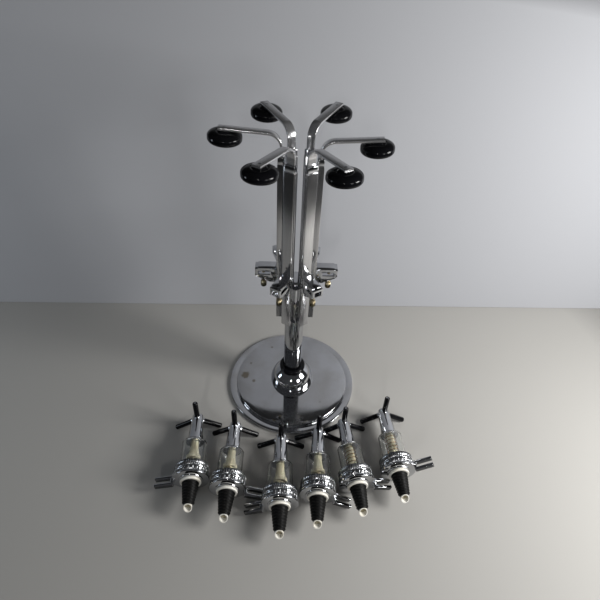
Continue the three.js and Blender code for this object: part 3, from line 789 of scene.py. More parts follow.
def rubber_material():
    """Matt ribbed rubber with worn, dusty patches."""
    material, tree, shader = new_material("black_rubber")
    base = tuple(bpy.context.scene.finish_colours.rubber)
    shader.inputs["Specular IOR Level"].default_value = 0.16
    tinted(tree, shader, effect(tree, "smudges", 160, 0.5), base, (0.008, 0.0077, 0.0075))
    roughened(tree, shader, 0.42, effect(tree, "smudges", 240, 0.2))
    bumped(tree, shader, effect(tree, "smudges", 1500, 1), 0.12, 0.0002)
    return material


def ivory_material(name, lightness, warmth):
    """Ivory plastic, a little yellowed in patches; a lower lightness gives darker copies that paint shade.
    """
    material, tree, shader = new_material(name)
    ivory = bpy.context.scene.finish_colours.ivory
    base = tuple(lightness * (1 - loss * warmth) * channel for channel, loss in zip(ivory, (0, 0.05, 0.22)))
    yellowed = (0.95 * base[0], 0.88 * base[1], 0.76 * base[2])
    tinted(tree, shader, effect(tree, "smudges", 70, 0.7), base, yellowed)
    roughened(tree, shader, 0.34, effect(tree, "smudges", 140, 0.14))
    bumped(tree, shader, effect(tree, "smudges", 800, 1), 0.04, 0.0002)
    return material


def clear_material():
    """Clear moulded plastic, faintly clouded."""
    material, tree, shader = new_material("clear_plastic")
    shader.inputs["Base Color"].default_value = (*bpy.context.scene.finish_colours.clear, 1)
    shader.inputs["IOR"].default_value = 1.46
    shader.inputs["Transmission Weight"].default_value = 1
    roughened(tree, shader, 0.015, effect(tree, "smudges", 60, 0.05), effect(tree, "hairlines", 420, 0.06))
    return material


def brass_material():
    """Aged brass, browned in patches."""
    material, tree, shader = new_material("aged_brass")
    base = tuple(bpy.context.scene.finish_colours.brass)
    shader.inputs["Metallic"].default_value = 1
    tinted(tree, shader, effect(tree, "smudges", 130, 1), base, scaled(base, 0.35))
    roughened(tree, shader, 0.24, effect(tree, "smudges", 200, 0.3))
    bumped(tree, shader, effect(tree, "hairlines", 700, 1), 0.08, 0.0002)
    return material


def spring_material():
    """Drawn wire, browned with age."""
    material, tree, shader = new_material("browned_wire")
    base = tuple(bpy.context.scene.finish_colours.spring)
    shader.inputs["Metallic"].default_value = 1
    tinted(tree, shader, effect(tree, "smudges", 320, 0.9), base, (0.10, 0.06, 0.035))
    roughened(tree, shader, 0.3, effect(tree, "smudges", 500, 0.2))
    return material


MATERIALS = {
    "chrome": lambda: chrome_material("bright_chrome", 0.035),
    "base_chrome": lambda: chrome_material("base_chrome", 0.05, stain_and_shade=True),
    "satin_chrome": lambda: chrome_material("satin_chrome", 0.22, lightness=0.62),
    "painted_shade_chrome": painted_shade_chrome_material,
    "aluminium": aluminium_material,
    "arm": arm_material,
    "black": gloss_black_material,
    "rubber": rubber_material,
    "white": lambda: ivory_material("white_plastic", 1, 0),
    # The ivory is a darker, warmer copy of the white: its darkness is painted shade on the tube inside the
    # chamber, its warmth the plastic's yellowing.
    "ivory": lambda: ivory_material("ivory_plastic", 0.80, 1),
    # The darkest copy is painted shade inside the tip's mouth.
    "stain_and_shade": lambda: ivory_material("mouth_shade_plastic", 0.30, 1),
    "clear": clear_material,
    "brass": brass_material,
    "spring": spring_material,
}
made_materials = {}


def finish(name):
    """A material by its plain name, made on first use."""
    if name not in made_materials:
        made_materials[name] = MATERIALS[name]()
    return made_materials[name]


# Operators: one for each piece or group of like pieces

def dome_rise(sizes):
    """The height of the dome's flat above the disc."""
    return math.sqrt(sizes.dome_radius ** 2 - sizes.dome_flat_radius ** 2)


class STAND_OT_base(bpy.types.Operator):
    """Turns the weighted chrome disc with its low lip"""

    bl_idname = "stand.base"
    bl_label = "Base disc"

    def execute(self, context):
        """Makes the piece."""
        s = context.scene.stand_sizes
        step = s.base_radius - s.lip_width
        disc_edge = 0.0012
        edge_drop = 0.0007
        shoulder = step - SMALL_STEP
        profile = [
            (0, 0),
            *arc((s.base_radius - BROAD_STEP, BROAD_STEP), BROAD_STEP, -90, 0, 3),
            *arc((s.base_radius - BROAD_STEP, s.lip_height - BROAD_STEP), BROAD_STEP, 0, 90, 6),
            *[(step + out, s.lip_height - drop) for out, drop in LIP_GROOVE],
            *arc((shoulder - disc_edge, s.disc_height - disc_edge - edge_drop), disc_edge, 10, 86, 6),
            *[(s.dome_radius + out, s.disc_height + rise * s.disc_crown) for out, rise in DISC_CROWN],
            (0, s.disc_height + s.disc_crown),
        ]
        shell = turned(profile, 192)
        make_piece("chrome_base", [(shell, 0)], [finish("base_chrome")], "base", ["base_plate"])
        return {"FINISHED"}


class STAND_OT_dome(bpy.types.Operator):
    """Turns the chrome half ball and the spindle that the column turns on"""

    bl_idname = "stand.dome"
    bl_label = "Hub dome"

    def execute(self, context):
        """Makes the piece."""
        s = context.scene.stand_sizes
        seat = s.disc_height + s.disc_crown
        rise = dome_rise(s)
        flat = seat + rise
        end = math.degrees(math.asin(rise / s.dome_radius))
        foot_radius = s.dome_radius + 0.0005
        spindle_radius, spindle_length, chamfer = 0.0136, 0.060, 0.002
        spindle_top = flat + spindle_length
        profile = [
            (0, seat),
            (foot_radius, seat),
            (foot_radius, seat + SMALL_STEP),
            *arc((0, seat), s.dome_radius, 1.5, end - 1, 40),
            (s.dome_flat_radius - FINE_STEP, flat),
            (spindle_radius, flat),
            (spindle_radius, spindle_top - chamfer),
            (spindle_radius - chamfer, spindle_top),
            (0, spindle_top),
        ]
        shell = turned(profile, 128)
        make_piece("chrome_dome", [(shell, 0)], [finish("chrome")], "base", ["hub_dome"])
        return {"FINISHED"}


class STAND_OT_bush(bpy.types.Operator):
    """Turns the black bearing bush round the column's foot"""

    bl_idname = "stand.bush"
    bl_label = "Bearing bush"

    def execute(self, context):
        """Makes the piece."""
        s = context.scene.stand_sizes
        rise = dome_rise(s)
        low = s.disc_height + s.disc_crown + rise
        high = low + s.bush_height
        bore = s.column_radius + FIT_GAP
        foot = 0.001
        groove = low + 0.0051
        shoulder = 0.0022
        profile = [
            (bore, low),
            (s.bush_radius - foot, low),
            *arc((s.bush_radius - BROAD_STEP, low + foot + BROAD_STEP), BROAD_STEP, -90, 0, 4),
            (s.bush_radius, groove - SMALL_STEP),
            (s.bush_radius - SMALL_STEP, groove - HAIR_STEP),
            (s.bush_radius - SMALL_STEP, groove + HAIR_STEP),
            (s.bush_radius, groove + SMALL_STEP),
            *arc((s.bush_radius - shoulder, high - shoulder), shoulder, 0, 90, 6),
            (bore + 0.0012, high),
            (bore, high - BROAD_STEP),
        ]
        shell = turned(profile, 96, hollow=True)
        make_piece(
            "bearing_bush", [(shell, 0)], [finish("black")], "base", ["bearing_collar"],
        )
        return {"FINISHED"}


class STAND_OT_column(bpy.types.Operator):
    """Makes the chrome column with its six-sided head"""

    bl_idname = "stand.column"
    bl_label = "Column"

    def execute(self, context):
        """Makes the piece."""
        s = context.scene.stand_sizes
        rise = dome_rise(s)
        foot = s.disc_height + s.disc_crown + rise + FIT_GAP
        tube_wall, cap_thickness, cap_edge = 0.0018, 0.004, 0.0015
        bore = s.column_radius - tube_wall
        cap_floor = s.column_top - cap_thickness
        tube = turned([
            (0, cap_floor),
            (bore, cap_floor),
            (bore, foot),
            (s.column_radius - FINE_STEP, foot),
            (s.column_radius, foot + FINE_STEP),
            *arc((s.column_radius - cap_edge, s.column_top - cap_edge), cap_edge, 0, 90, 4),
            (0, s.column_top),
        ], 96)
        flat = s.post_face_radius - s.post_depth - FIT_GAP
        corner = flat / math.cos(math.pi / 6)
        head = bmesh.new()
        rim = bmesh.ops.create_circle(head, cap_ends=True, radius=corner, segments=6)
        head.transform(Matrix.Translation((0, 0, s.post_foot)))
        drawn_out(head, head.faces[:], (0, 0, s.column_top - s.head_drop - s.post_foot))
        bmesh.ops.recalc_face_normals(head, faces=head.faces)
        first = rim["verts"][0].co
        head.transform(Matrix.Rotation(math.pi / 6 - math.atan2(first.y, first.x), 4, "Z"))
        core_radius = s.column_radius - HAIR_STEP
        core_foot = s.post_foot - CUT_PAST
        core = turned([
            (0, core_foot),
            (core_radius, core_foot),
            (core_radius, s.column_top),
            (0, s.column_top),
        ], 96)
        head = softened(carved(head, core), SMALL_STEP)
        make_piece(
            "chrome_column", [(tube, 0), (head, 0)], [finish("chrome")], "carousel", ["column"],
        )
        return {"FINISHED"}


class STAND_OT_posts(bpy.types.Operator):
    """Makes the six drawn posts with their guides"""

    bl_idname = "stand.posts"
    bl_label = "Posts"

    def execute(self, context):
        """Makes the pieces."""
        s = context.scene.stand_sizes
        inner = s.post_face_radius - s.post_depth
        middle = s.post_face_radius - s.post_depth / 2
        half = s.post_width / 2
        top = s.post_foot + s.post_length
        tube = block((inner, -half, s.post_foot), (s.post_face_radius, half, top))
        tube_edge, guide_edge, slot_sink = 0.0007, 0.0009, 0.003
        tube = softened(tube, tube_edge, segments=3)
        hollow = block(
            (inner + s.post_wall, s.post_wall - half, s.post_foot - CUT_PAST),
            (s.post_face_radius - s.post_wall, half - s.post_wall, top - HAIR_STEP),
        )
        hole_depth, hole_outside = 0.004, 0.001
        hole = turned([(0, 0), (s.rivet_radius, 0), (s.rivet_radius, hole_depth), (0, hole_depth)], 24)
        hole_start = s.post_face_radius + hole_outside - hole_depth
        spot = Matrix.Translation((hole_start, 0, s.rivet_height))
        hole.transform(spot @ Matrix.Rotation(QUARTER, 4, "Y"))
        tube = carved(tube, hollow, hole)
        guide = block(
            (inner + s.guide_inset, s.guide_inset - half, top),
            (s.post_face_radius - s.guide_inset, half - s.guide_inset, top + s.guide_height),
        )
        guide = softened(guide, guide_edge, segments=3)
        slot_depth = s.arm_thickness / 2 + FIT_GAP
        slot_width = s.arm_width / 2 + FIT_GAP
        slot = block(
            (middle - slot_depth, -slot_width, top - slot_sink),
            (middle + slot_depth, slot_width, top + s.guide_height + CUT_PAST),
        )
        guide = carved(guide, slot)
        for station in STATIONS:
            make_piece(
                f"drawn_post_{station}", [(tube, 0), (guide, 1)], [finish("aluminium"), finish("chrome")],
                "carousel", [f"upright_{station}"], station_place(station),
            )
        return {"FINISHED"}


class STAND_OT_blocks(bpy.types.Operator):
    """Makes the six cast clamp blocks on the posts"""

    bl_idname = "stand.blocks"
    bl_label = "Clamp blocks"

    def execute(self, context):
        """Makes the pieces."""
        s = context.scene.stand_sizes
        root = s.post_face_radius - s.post_wall / 2
        end = s.post_face_radius + s.block_reach
        plate_end = end - s.block_setback
        face_foot = s.block_top - s.block_face_height
        root_foot = s.block_top - s.block_root_height
        roof = s.block_top - s.block_plate
        floor = roof - s.pocket_height
        back = s.post_face_radius + s.pocket_back
        body = prism([
            (root, root_foot),
            (s.post_face_radius + s.block_root_length, root_foot),
            (end, face_foot),
            (end, s.block_top - s.block_rim_drop),
            (plate_end, s.block_top - s.block_rim_drop),
            (plate_end, s.block_top),
            (root, s.block_top),
        ], s.block_width)
        half = s.block_width / 2 - s.pocket_wall
        pocket = block((back, -half, floor), (end + CUT_PAST, half, roof))
        window_setback = 0.004
        window = block(
            (back + window_setback, -s.block_width, floor + BROAD_STEP),
            (plate_end, s.block_width, roof - BROAD_STEP),
        )
        way_radius, way_depth, casting_edge = 0.0026, 0.004, 0.0005
        way_top = roof - way_depth
        way = turned([(0, root_foot), (way_radius, root_foot), (way_radius, way_top), (0, way_top)], 32)
        way.transform(Matrix.Translation((end - s.screw_setback, 0, 0)))
        casting = softened(carved(body, pocket, window, way), casting_edge)
        for station in STATIONS:
            make_piece(
                f"clamp_casting_{station}", [(casting, 0)], [finish("chrome")], "carousel",
                (), station_place(station),
            )
        return {"FINISHED"}


class STAND_OT_screws(bpy.types.Operator):
    """Turns the six thumbscrews under the blocks and knurls their knobs"""

    bl_idname = "stand.screws"
    bl_label = "Thumbscrews"

    def execute(self, context):
        """Makes the pieces."""
        s = context.scene.stand_sizes
        floor = s.block_top - s.block_plate - s.pocket_height
        shank_top = floor - FIT_GAP
        bare_length = 0.017
        knob_top = shank_top - bare_length
        knob_foot = knob_top - s.knob_length
        groove_draw, rim_draw, rim_height = 0.93, 0.86, 0.001
        neck_radius = neck_length = 0.0034
        shank_radius = 0.0023
        shank_edge = 0.0005
        shank = turned([
            (0, knob_top),
            (neck_radius, knob_top),
            (neck_radius, knob_top + neck_length),
            (neck_radius - SMALL_STEP, knob_top + neck_length + SMALL_STEP),
            (shank_radius, knob_top + neck_length + SMALL_STEP),
            (shank_radius, shank_top - shank_edge),
            (shank_radius - shank_edge, shank_top),
            (0, shank_top),
        ], 32)
        knob = bmesh.new()
        bmesh.ops.create_circle(knob, cap_ends=True, radius=s.knob_radius, segments=48)
        for index, corner in enumerate(knob.verts):
            corner.co.xy *= 1 if index % 2 else groove_draw
        knob.transform(Matrix.Translation((0, 0, knob_foot + rim_height)))
        faces = knob.faces[:]
        for rise, draw in ((s.knob_length - 2 * rim_height, 1), (rim_height, rim_draw)):
            faces, corners = drawn_out(knob, faces, (0, 0, rise))
            bmesh.ops.scale(knob, vec=(draw, draw, 1), verts=corners)
        low = min(corner.co.z for corner in knob.verts)
        foot = [f for f in knob.faces if all(abs(v.co.z - low) < MERGE_DISTANCE for v in f.verts)]
        corners = drawn_out(knob, foot, (0, 0, -rim_height))[1]
        bmesh.ops.scale(knob, vec=(rim_draw, rim_draw, 1), verts=corners)
        bmesh.ops.recalc_face_normals(knob, faces=knob.faces)
        out = s.post_face_radius + s.block_reach - s.screw_setback
        for station in STATIONS:
            make_piece(
                f"thumb_screw_{station}", [(shank, 0), (knob, 0)], [finish("brass")], f"screw_{station}",
                [f"clamp_screw_{station}"],
                station_place(station) @ Matrix.Translation((out, 0, 0)), crease=20,
            )
        return {"FINISHED"}


class STAND_OT_arms(bpy.types.Operator):
    """Bends the six flat arms out of one bar each"""

    bl_idname = "stand.arms"
    bl_label = "Arms"

    def execute(self, context):
        """Makes the pieces."""
        s = context.scene.stand_sizes
        half = s.arm_thickness / 2
        middle = s.post_face_radius - s.post_depth / 2
        centre = self.bend_centre(s)
        bar = bmesh.new()
        bmesh.ops.create_grid(bar, x_segments=1, y_segments=1, size=0.5)
        bmesh.ops.scale(bar, vec=(s.arm_thickness, s.arm_width, 1), verts=bar.verts)
        bmesh.ops.bevel(
            bar, geom=bar.verts[:], offset=SMALL_STEP, offset_type="OFFSET", affect="VERTICES",
            segments=3, profile=0.5, material=-1, clamp_overlap=True,
        )
        bar.transform(Matrix.Translation((middle, 0, centre.z - s.arm_tail)))
        end = drawn_out(bar, bar.faces[:], (0, 0, s.arm_tail))[0]
        geometry = end + [e for f in end for e in f.edges] + [v for f in end for v in f.verts]
        bend = QUARTER - s.arm_slope
        spun = bmesh.ops.spin(
            bar, geom=list(dict.fromkeys(geometry)), cent=centre, axis=(0, 1, 0), dvec=(0, 0, 0),
            angle=bend, steps=20, use_merge=False,
        )
        end = [item for item in spun["geom_last"] if isinstance(item, bmesh.types.BMFace)]
        bend_end = centre + s.arm_bend * Vector((-math.sin(s.arm_slope), 0, math.cos(s.arm_slope)))
        tip_setback = 0.001
        straight = (s.arm_reach - tip_setback - bend_end.x) / math.cos(s.arm_slope)
        along = Vector((math.cos(s.arm_slope), 0, math.sin(s.arm_slope)))
        drawn_out(bar, end, along * straight)
        bmesh.ops.delete(bar, geom=[f for f in end if f.is_valid], context="FACES_ONLY")
        bmesh.ops.remove_doubles(bar, verts=bar.verts, dist=MERGE_DISTANCE)
        bmesh.ops.recalc_face_normals(bar, faces=bar.faces)
        layer = bar.loops.layers.uv.new("along_bar")
        for face in bar.faces:
            for loop in face.loops:
                loop[layer].uv = self.bar_place(loop.vert.co, centre, s, bend)
        rivet_radius, rivet_round = 0.0022, 0.0010
        rivet = turned([
            (0, -FINE_STEP),
            (rivet_radius, -FINE_STEP),
            (rivet_radius, 0),
            *arc((rivet_radius - rivet_round, 0), rivet_round, 0, 90, 3),
            (0, 0.0005),
        ], 24)
        top = self.face_height(s.cup_circle, half, centre, s)
        spot = Matrix.Translation((s.cup_circle, 0, top)) @ Matrix.Rotation(-s.arm_slope, 4, "Y")
        rivet.transform(spot @ Matrix.Diagonal((1, 1, 0.4, 1)))
        for station in STATIONS:
            make_piece(
                f"bent_arm_{station}", [(bar, 0), (rivet, 1)], [finish("arm"), finish("chrome")],
                f"arm_{station}", [f"arm_{station}"], arm_place(station),
            )
        return {"FINISHED"}

    @staticmethod
    def bend_centre(sizes):
        """The centre of the bend, in the plane of radius and height."""
        out = sizes.post_face_radius - sizes.post_depth / 2 + sizes.arm_bend
        drop = (sizes.arm_bend + sizes.arm_thickness / 2) * math.cos(sizes.arm_slope)
        return Vector((out, 0, sizes.arm_top - drop))

    @staticmethod
    def bar_place(point, centre, sizes, bend):
        """Where a point lies across and along the bar, in metres."""
        across = point.y + (point - centre).xz.length
        if point.z < centre.z and point.x < centre.x:
            return across, point.z
        turn = math.atan2(point.z - centre.z, centre.x - point.x)
        if turn <= bend:
            return across, centre.z + sizes.arm_bend * turn
        run = (point.x - centre.x) + sizes.arm_bend * math.sin(sizes.arm_slope)
        return point.y + point.z - run * math.tan(sizes.arm_slope), centre.z + sizes.arm_bend * bend + run

    @staticmethod
    def face_height(radius, offset, centre, sizes):
        """The height of an arm's face at a radius past the bend."""
        reach = sizes.arm_bend + offset
        start_x = centre.x - reach * math.sin(sizes.arm_slope)
        start_z = centre.z + reach * math.cos(sizes.arm_slope)
        return start_z + (radius - start_x) * math.tan(sizes.arm_slope)


class STAND_OT_cups(bpy.types.Operator):
    """Turns the six glossy cups that press on the bottles"""

    bl_idname = "stand.cups"
    bl_label = "Cups"

    def execute(self, context):
        """Makes the pieces."""
        s = context.scene.stand_sizes
        centre = STAND_OT_arms.bend_centre(s)
        seat = STAND_OT_arms.face_height(s.cup_circle, -s.arm_thickness / 2, centre, s)
        foot = -s.cup_height
        edge = 0.0042
        inner, height, rise = CUP_SHOULDER
        turns = [math.radians(90 * step / 12) for step in range(1, 12)]
        profile = [
            *[(radius, foot + up) for radius, up in CUP_HOLLOW],
            (s.cup_radius - edge, foot),
            *arc((s.cup_radius - edge, foot + edge), edge, -80, 0, 8),
            *[(inner + (s.cup_radius - inner) * math.cos(t), height + rise * math.sin(t)) for t in turns],
            *[(radius, -depth) for radius, depth in CUP_TOP],
        ]
        cup = turned(profile, 64)
        place = Matrix.Translation((s.cup_circle, 0, seat - FIT_GAP))
        place = place @ Matrix.Rotation(-s.arm_slope, 4, "Y")
        for station in STATIONS:
            make_piece(
                f"black_cup_{station}", [(cup, 0)], [finish("black")], f"arm_{station}",
                [f"cup_{station}"], arm_place(station) @ place,
            )
        return {"FINISHED"}


class STAND_OT_castings(bpy.types.Operator):
    """Makes the measures' chrome castings: knurl, lobed ring, plate and fork"""

    bl_idname = "stand.castings"
    bl_label = "Measure castings"

    def execute(self, context):
        """Makes the pieces."""
        m = context.scene.measure_sizes
        at = measure_stations(m)
        bore = m.chamber_radius + FIT_GAP
        bead = 0.0014
        knurl = toothed_ring(
            m.knurl_radius, bore, at["knurl_start"], at["ring_start"],
            count=m.knurl_teeth, depth=0.0010, flat=0.45, steps=12, edge=SMALL_STEP,
        )
        ring = toothed_ring(
            m.ring_radius, bore, at["ring_start"] + bead, at["plate_start"] - FINE_STEP,
            count=m.ring_lobes, depth=0.0011, flat=0.55, steps=16, edge=BROAD_STEP,
        )
        start = at["ring_start"]
        collar = turned([
            (bore, start),
            (m.knurl_radius - FINE_STEP, start),
            *arc((m.knurl_radius - FINE_STEP, start + bead / 2), bead / 2, -80, 80, 5),
            (m.knurl_radius - FINE_STEP, start + bead),
            (bore, start + bead),
        ], 128, hollow=True)
        eye = m.valve_radius + FIT_GAP
        web_radius = m.plate_radius - 0.002
        web_foot = at["plate_start"] - 0.003
        web_top = at["plate_start"] + 0.001
        web = turned([
            (eye, web_foot),
            (web_radius, at["plate_start"] - BROAD_STEP),
            (web_radius, web_top),
            (eye, web_top),
        ], 96, hollow=True)
        plate = self.plate(m, at)
        seat_foot = at["seat_start"] - 0.0005
        seat = turned([
            (eye, seat_foot),
            (m.seat_radius, seat_foot),
            *arc((m.seat_radius - SMALL_STEP, at["seat_end"] - SMALL_STEP), SMALL_STEP, 0, 90, 4),
            (eye, at["seat_end"]),
        ], 96, hollow=True)
        shells = [(shell, 0) for shell in (collar, web, plate, seat, self.fork(m, at))]
        shells += [(shell, 2) for shell in (knurl, ring)]
        # Finishes 1 and 3 are painted shade: the fork's faces towards the inlet, and the grooves of the
        # knurl and the ring.
        finishes = [finish(each) for each in ("chrome", "painted_shade_chrome", "satin_chrome", "painted_shade_chrome")]
        for number in STATIONS:
            make_piece(
                f"measure_casting_{number}", shells, finishes, f"measure_{number}",
                [f"measure_{number}_collar"], measure_place(number, towards_fork=True),
            )
        return {"FINISHED"}

    @staticmethod
    def plate(m, at):
        """The round plate, drawn out to a tongue at the fork."""
        shell = bmesh.new()
        bmesh.ops.create_circle(shell, cap_ends=True, radius=m.plate_radius, segments=120)
        wing = math.pi / 6
        start = Vector((math.cos(wing), math.sin(wing))) * m.plate_radius
        tongue = Vector((m.fork_root, m.tongue_width / 2))
        flat = math.atan2(tongue.y, tongue.x)
        for corner in shell.verts:
            turn = math.atan2(corner.co.y, corner.co.x)
            if abs(turn) >= wing:
                continue
            if abs(turn) <= flat:
                reach = m.fork_root / math.cos(turn)
            else:
                run = tongue - start
                aim = Vector((math.cos(abs(turn)), math.sin(abs(turn))))
                reach = (start.x * run.y - start.y * run.x) / (aim.x * run.y - aim.y * run.x)
            corner.co.xy *= reach / m.plate_radius
        shell.transform(Matrix.Translation((0, 0, at["plate_start"])))
        drawn_out(shell, shell.faces[:], (0, 0, m.plate_thickness))
        bmesh.ops.recalc_face_normals(shell, faces=shell.faces)
        rims = [e for e in shell.edges if e.calc_face_angle(0) > math.radians(60)]
        rims = [e for e in rims if abs(e.verts[0].co.z - e.verts[1].co.z) < MERGE_DISTANCE]
        bmesh.ops.bevel(
            shell, geom=rims, offset=BROAD_STEP, offset_type="OFFSET", affect="EDGES", segments=3,
            profile=0.5, material=-1, clamp_overlap=True,
        )
        return shell

    @staticmethod
    def fork(m, at):
        """The two prongs with the gap that takes a clamp block's roof plate."""
        middle = at["plate_start"] + m.plate_thickness / 2
        half_gap = m.fork_gap / 2
        half = half_gap + m.prong_thickness
        overlap, prong_edge = 0.004, 0.0007
        root = m.fork_root - overlap
        shell = prism([
            (root, middle - half),
            (m.fork_reach, middle - half),
            (m.fork_reach, middle - half_gap),
            (m.fork_root, middle - half_gap),
            (m.fork_root, middle + half_gap),
            (m.fork_reach, middle + half_gap),
            (m.fork_reach, middle + half),
            (root, middle + half),
        ], m.fork_width)
        shell = softened(shell, prong_edge, segments=3)
        # The broad faces towards the inlet, in the gap and on the near prong's outside, take finish 1:
        # painted shade.
        for face in shell.faces:
            face.material_index = int(face.normal.z > 0.9 and face.calc_area() > 1e-5)
        return shell


class STAND_OT_chambers(bpy.types.Operator):
    """Turns the clear chambers"""

    bl_idname = "stand.chambers"
    bl_label = "Chambers"

    def execute(self, context):
        """Makes the pieces."""
        m = context.scene.measure_sizes
        at = measure_stations(m)
        mouth = m.flange_radius + FIT_GAP
        outer, inner = m.chamber_radius, m.chamber_radius - m.chamber_wall
        start, end = at["chamber_start"], at["chamber_end"]
        ease = outer - mouth - m.chamber_wall
        profile = [
            (mouth, start + SMALL_STEP),
            (mouth + SMALL_STEP, start),
            *arc((outer - ease, start + ease), ease, -86, 0, 10),
            (outer, end),
            (inner, end),
            *arc((inner - ease + FINE_STEP, start + ease + 0.0012), ease - FINE_STEP, 0, -86, 10),
            (mouth, start + m.chamber_wall),
        ]
        shell = turned(profile, 96, hollow=True)
        for number in STATIONS:
            make_piece(
                f"clear_chamber_{number}", [(shell, 0)], [finish("clear")], f"measure_{number}",
                [f"measure_{number}_chamber"], measure_place(number),
            )
        return {"FINISHED"}


class STAND_OT_valves(bpy.types.Operator):
    """Turns the ivory valve tubes with their washers and slanted inlet tips"""

    bl_idname = "stand.valves"
    bl_label = "Valves"

    def execute(self, context):
        """Makes the pieces."""
        m = context.scene.measure_sizes
        at = measure_stations(m)
        seat_start = at["knurl_start"] - m.spring_seat_depth
        sprung = [
            (m.valve_radius, seat_start),
            (m.spring_seat_radius - FINE_STEP, seat_start),
            (m.spring_seat_radius, seat_start + FINE_STEP),
            (m.spring_seat_radius, at["knurl_start"]),
            (m.valve_radius, at["knurl_start"]),
        ]
        band_end = at["knurl_start"] - m.band_set_back
        band_start = band_end - m.band_length
        waist = (m.valve_radius + m.band_radius) / 2
        flared = [
            (m.valve_radius, band_start - m.flare_length),
            (m.valve_radius + SMALL_STEP, band_start - 0.7 * m.flare_length),
            (waist - 0.0003, band_start - 0.2 * m.flare_length),
            (waist, band_start),
            (m.band_radius - SMALL_STEP, band_start),
            (m.band_radius, band_start + SMALL_STEP),
            (m.band_radius, band_end - SMALL_STEP),
            (m.band_radius - SMALL_STEP, band_end),
            (m.valve_radius, band_end),
        ]
        finishes = [finish(each) for each in ("ivory", "white", "stain_and_shade")]
        for number in STATIONS:
            has_spring = f"measure_{number}_spring" in frame["nodes"]
            make_piece(
                f"ivory_valve_{number}", [(self.moulding(m, at, sprung if has_spring else flared), 0)],
                finishes, f"measure_{number}", [f"measure_{number}_valve"],
                measure_place(number),
            )
        return {"FINISHED"}

    @staticmethod
    def moulding(m, at, waist):
        """The whole moulding, its tip cut on a slant."""
        washer_middle = (at["washer_start"] + at["washer_end"]) / 2
        shell = turned([
            (m.valve_bore, m.valve_start),
            (m.valve_radius, m.valve_start),
            *waist,
            (m.valve_radius, at["washer_start"]),
            (m.washer_radius - SMALL_STEP, at["washer_start"]),
            *arc((m.washer_radius - BROAD_STEP, washer_middle), BROAD_STEP, -60, 60, 4),
            (m.washer_radius - SMALL_STEP, at["washer_end"]),
            (m.stopper_wide + FIT_GAP, at["washer_end"]),
            (m.stopper_wide + FIT_GAP, at["washer_floor"]),
            (m.inlet_radius, at["washer_floor"]),
            (m.inlet_radius, at["tip_start"]),
            (m.tip_radius - FINE_STEP, at["tip_start"]),
            (m.tip_radius, at["tip_start"] + FINE_STEP),
            (m.tip_radius, at["tip_end"]),
            (m.tip_bore, at["tip_end"]),
            (m.tip_bore, at["tip_start"] + m.tip_floor),
            (m.valve_bore, at["tip_start"] + m.tip_floor),
        ], 64, hollow=True)
        bmesh.ops.bisect_plane(
            shell, geom=shell.verts[:] + shell.edges[:] + shell.faces[:], dist=MERGE_DISTANCE,
            plane_co=(m.tip_radius, 0, at["tip_end"] - HAIR_STEP),
            plane_no=(-math.sin(m.tip_cut), 0, math.cos(m.tip_cut)), clear_outer=True,
        )
        open_edges = [e for e in shell.edges if e.is_boundary]
        bmesh.ops.bridge_loops(shell, edges=open_edges)
        bmesh.ops.recalc_face_normals(shell, faces=shell.faces)
        # Inside the chamber the moulding takes the ivory, outside the white, and inside the tip's mouth the
        # darkest copy, painted shade.
        for face in shell.faces:
            middle = face.calc_center_median()
            outside = middle.z > at["washer_start"]
            mouth = outside and middle.xy.length < m.tip_bore - HAIR_STEP / 10
            face.material_index = int(outside) + int(mouth)
        return shell


class STAND_OT_stoppers(bpy.types.Operator):
    """Turns the ribbed rubber stoppers"""

    bl_idname = "stand.stoppers"
    bl_label = "Stoppers"

    def execute(self, context):
        """Makes the pieces."""
        m = context.scene.measure_sizes
        at = measure_stations(m)
        bore = m.inlet_radius + FIT_GAP
        pitch = m.stopper_length / m.stopper_ribs
        taper = (m.stopper_wide - m.stopper_narrow) / m.stopper_length
        profile = [(bore, at["stopper_start"])]
        for index in range(m.stopper_ribs):
            low = at["stopper_start"] + pitch * index
            crest = m.stopper_wide - taper * pitch * index
            root = crest - taper * pitch - m.rib_depth
            profile += [(crest - depth, low + rise) for depth, rise in RIB_CREST]
            profile += [(root - depth, low + pitch - back) for depth, back in RIB_GROOVE]
        profile.append((bore, at["stopper_end"]))
        shell = turned(profile, 64, hollow=True)
        for number in STATIONS:
            make_piece(
                f"ribbed_stopper_{number}", [(shell, 0)], [finish("rubber")], f"measure_{number}",
                [f"measure_{number}_stopper"], measure_place(number), crease=50,
            )
        return {"FINISHED"}


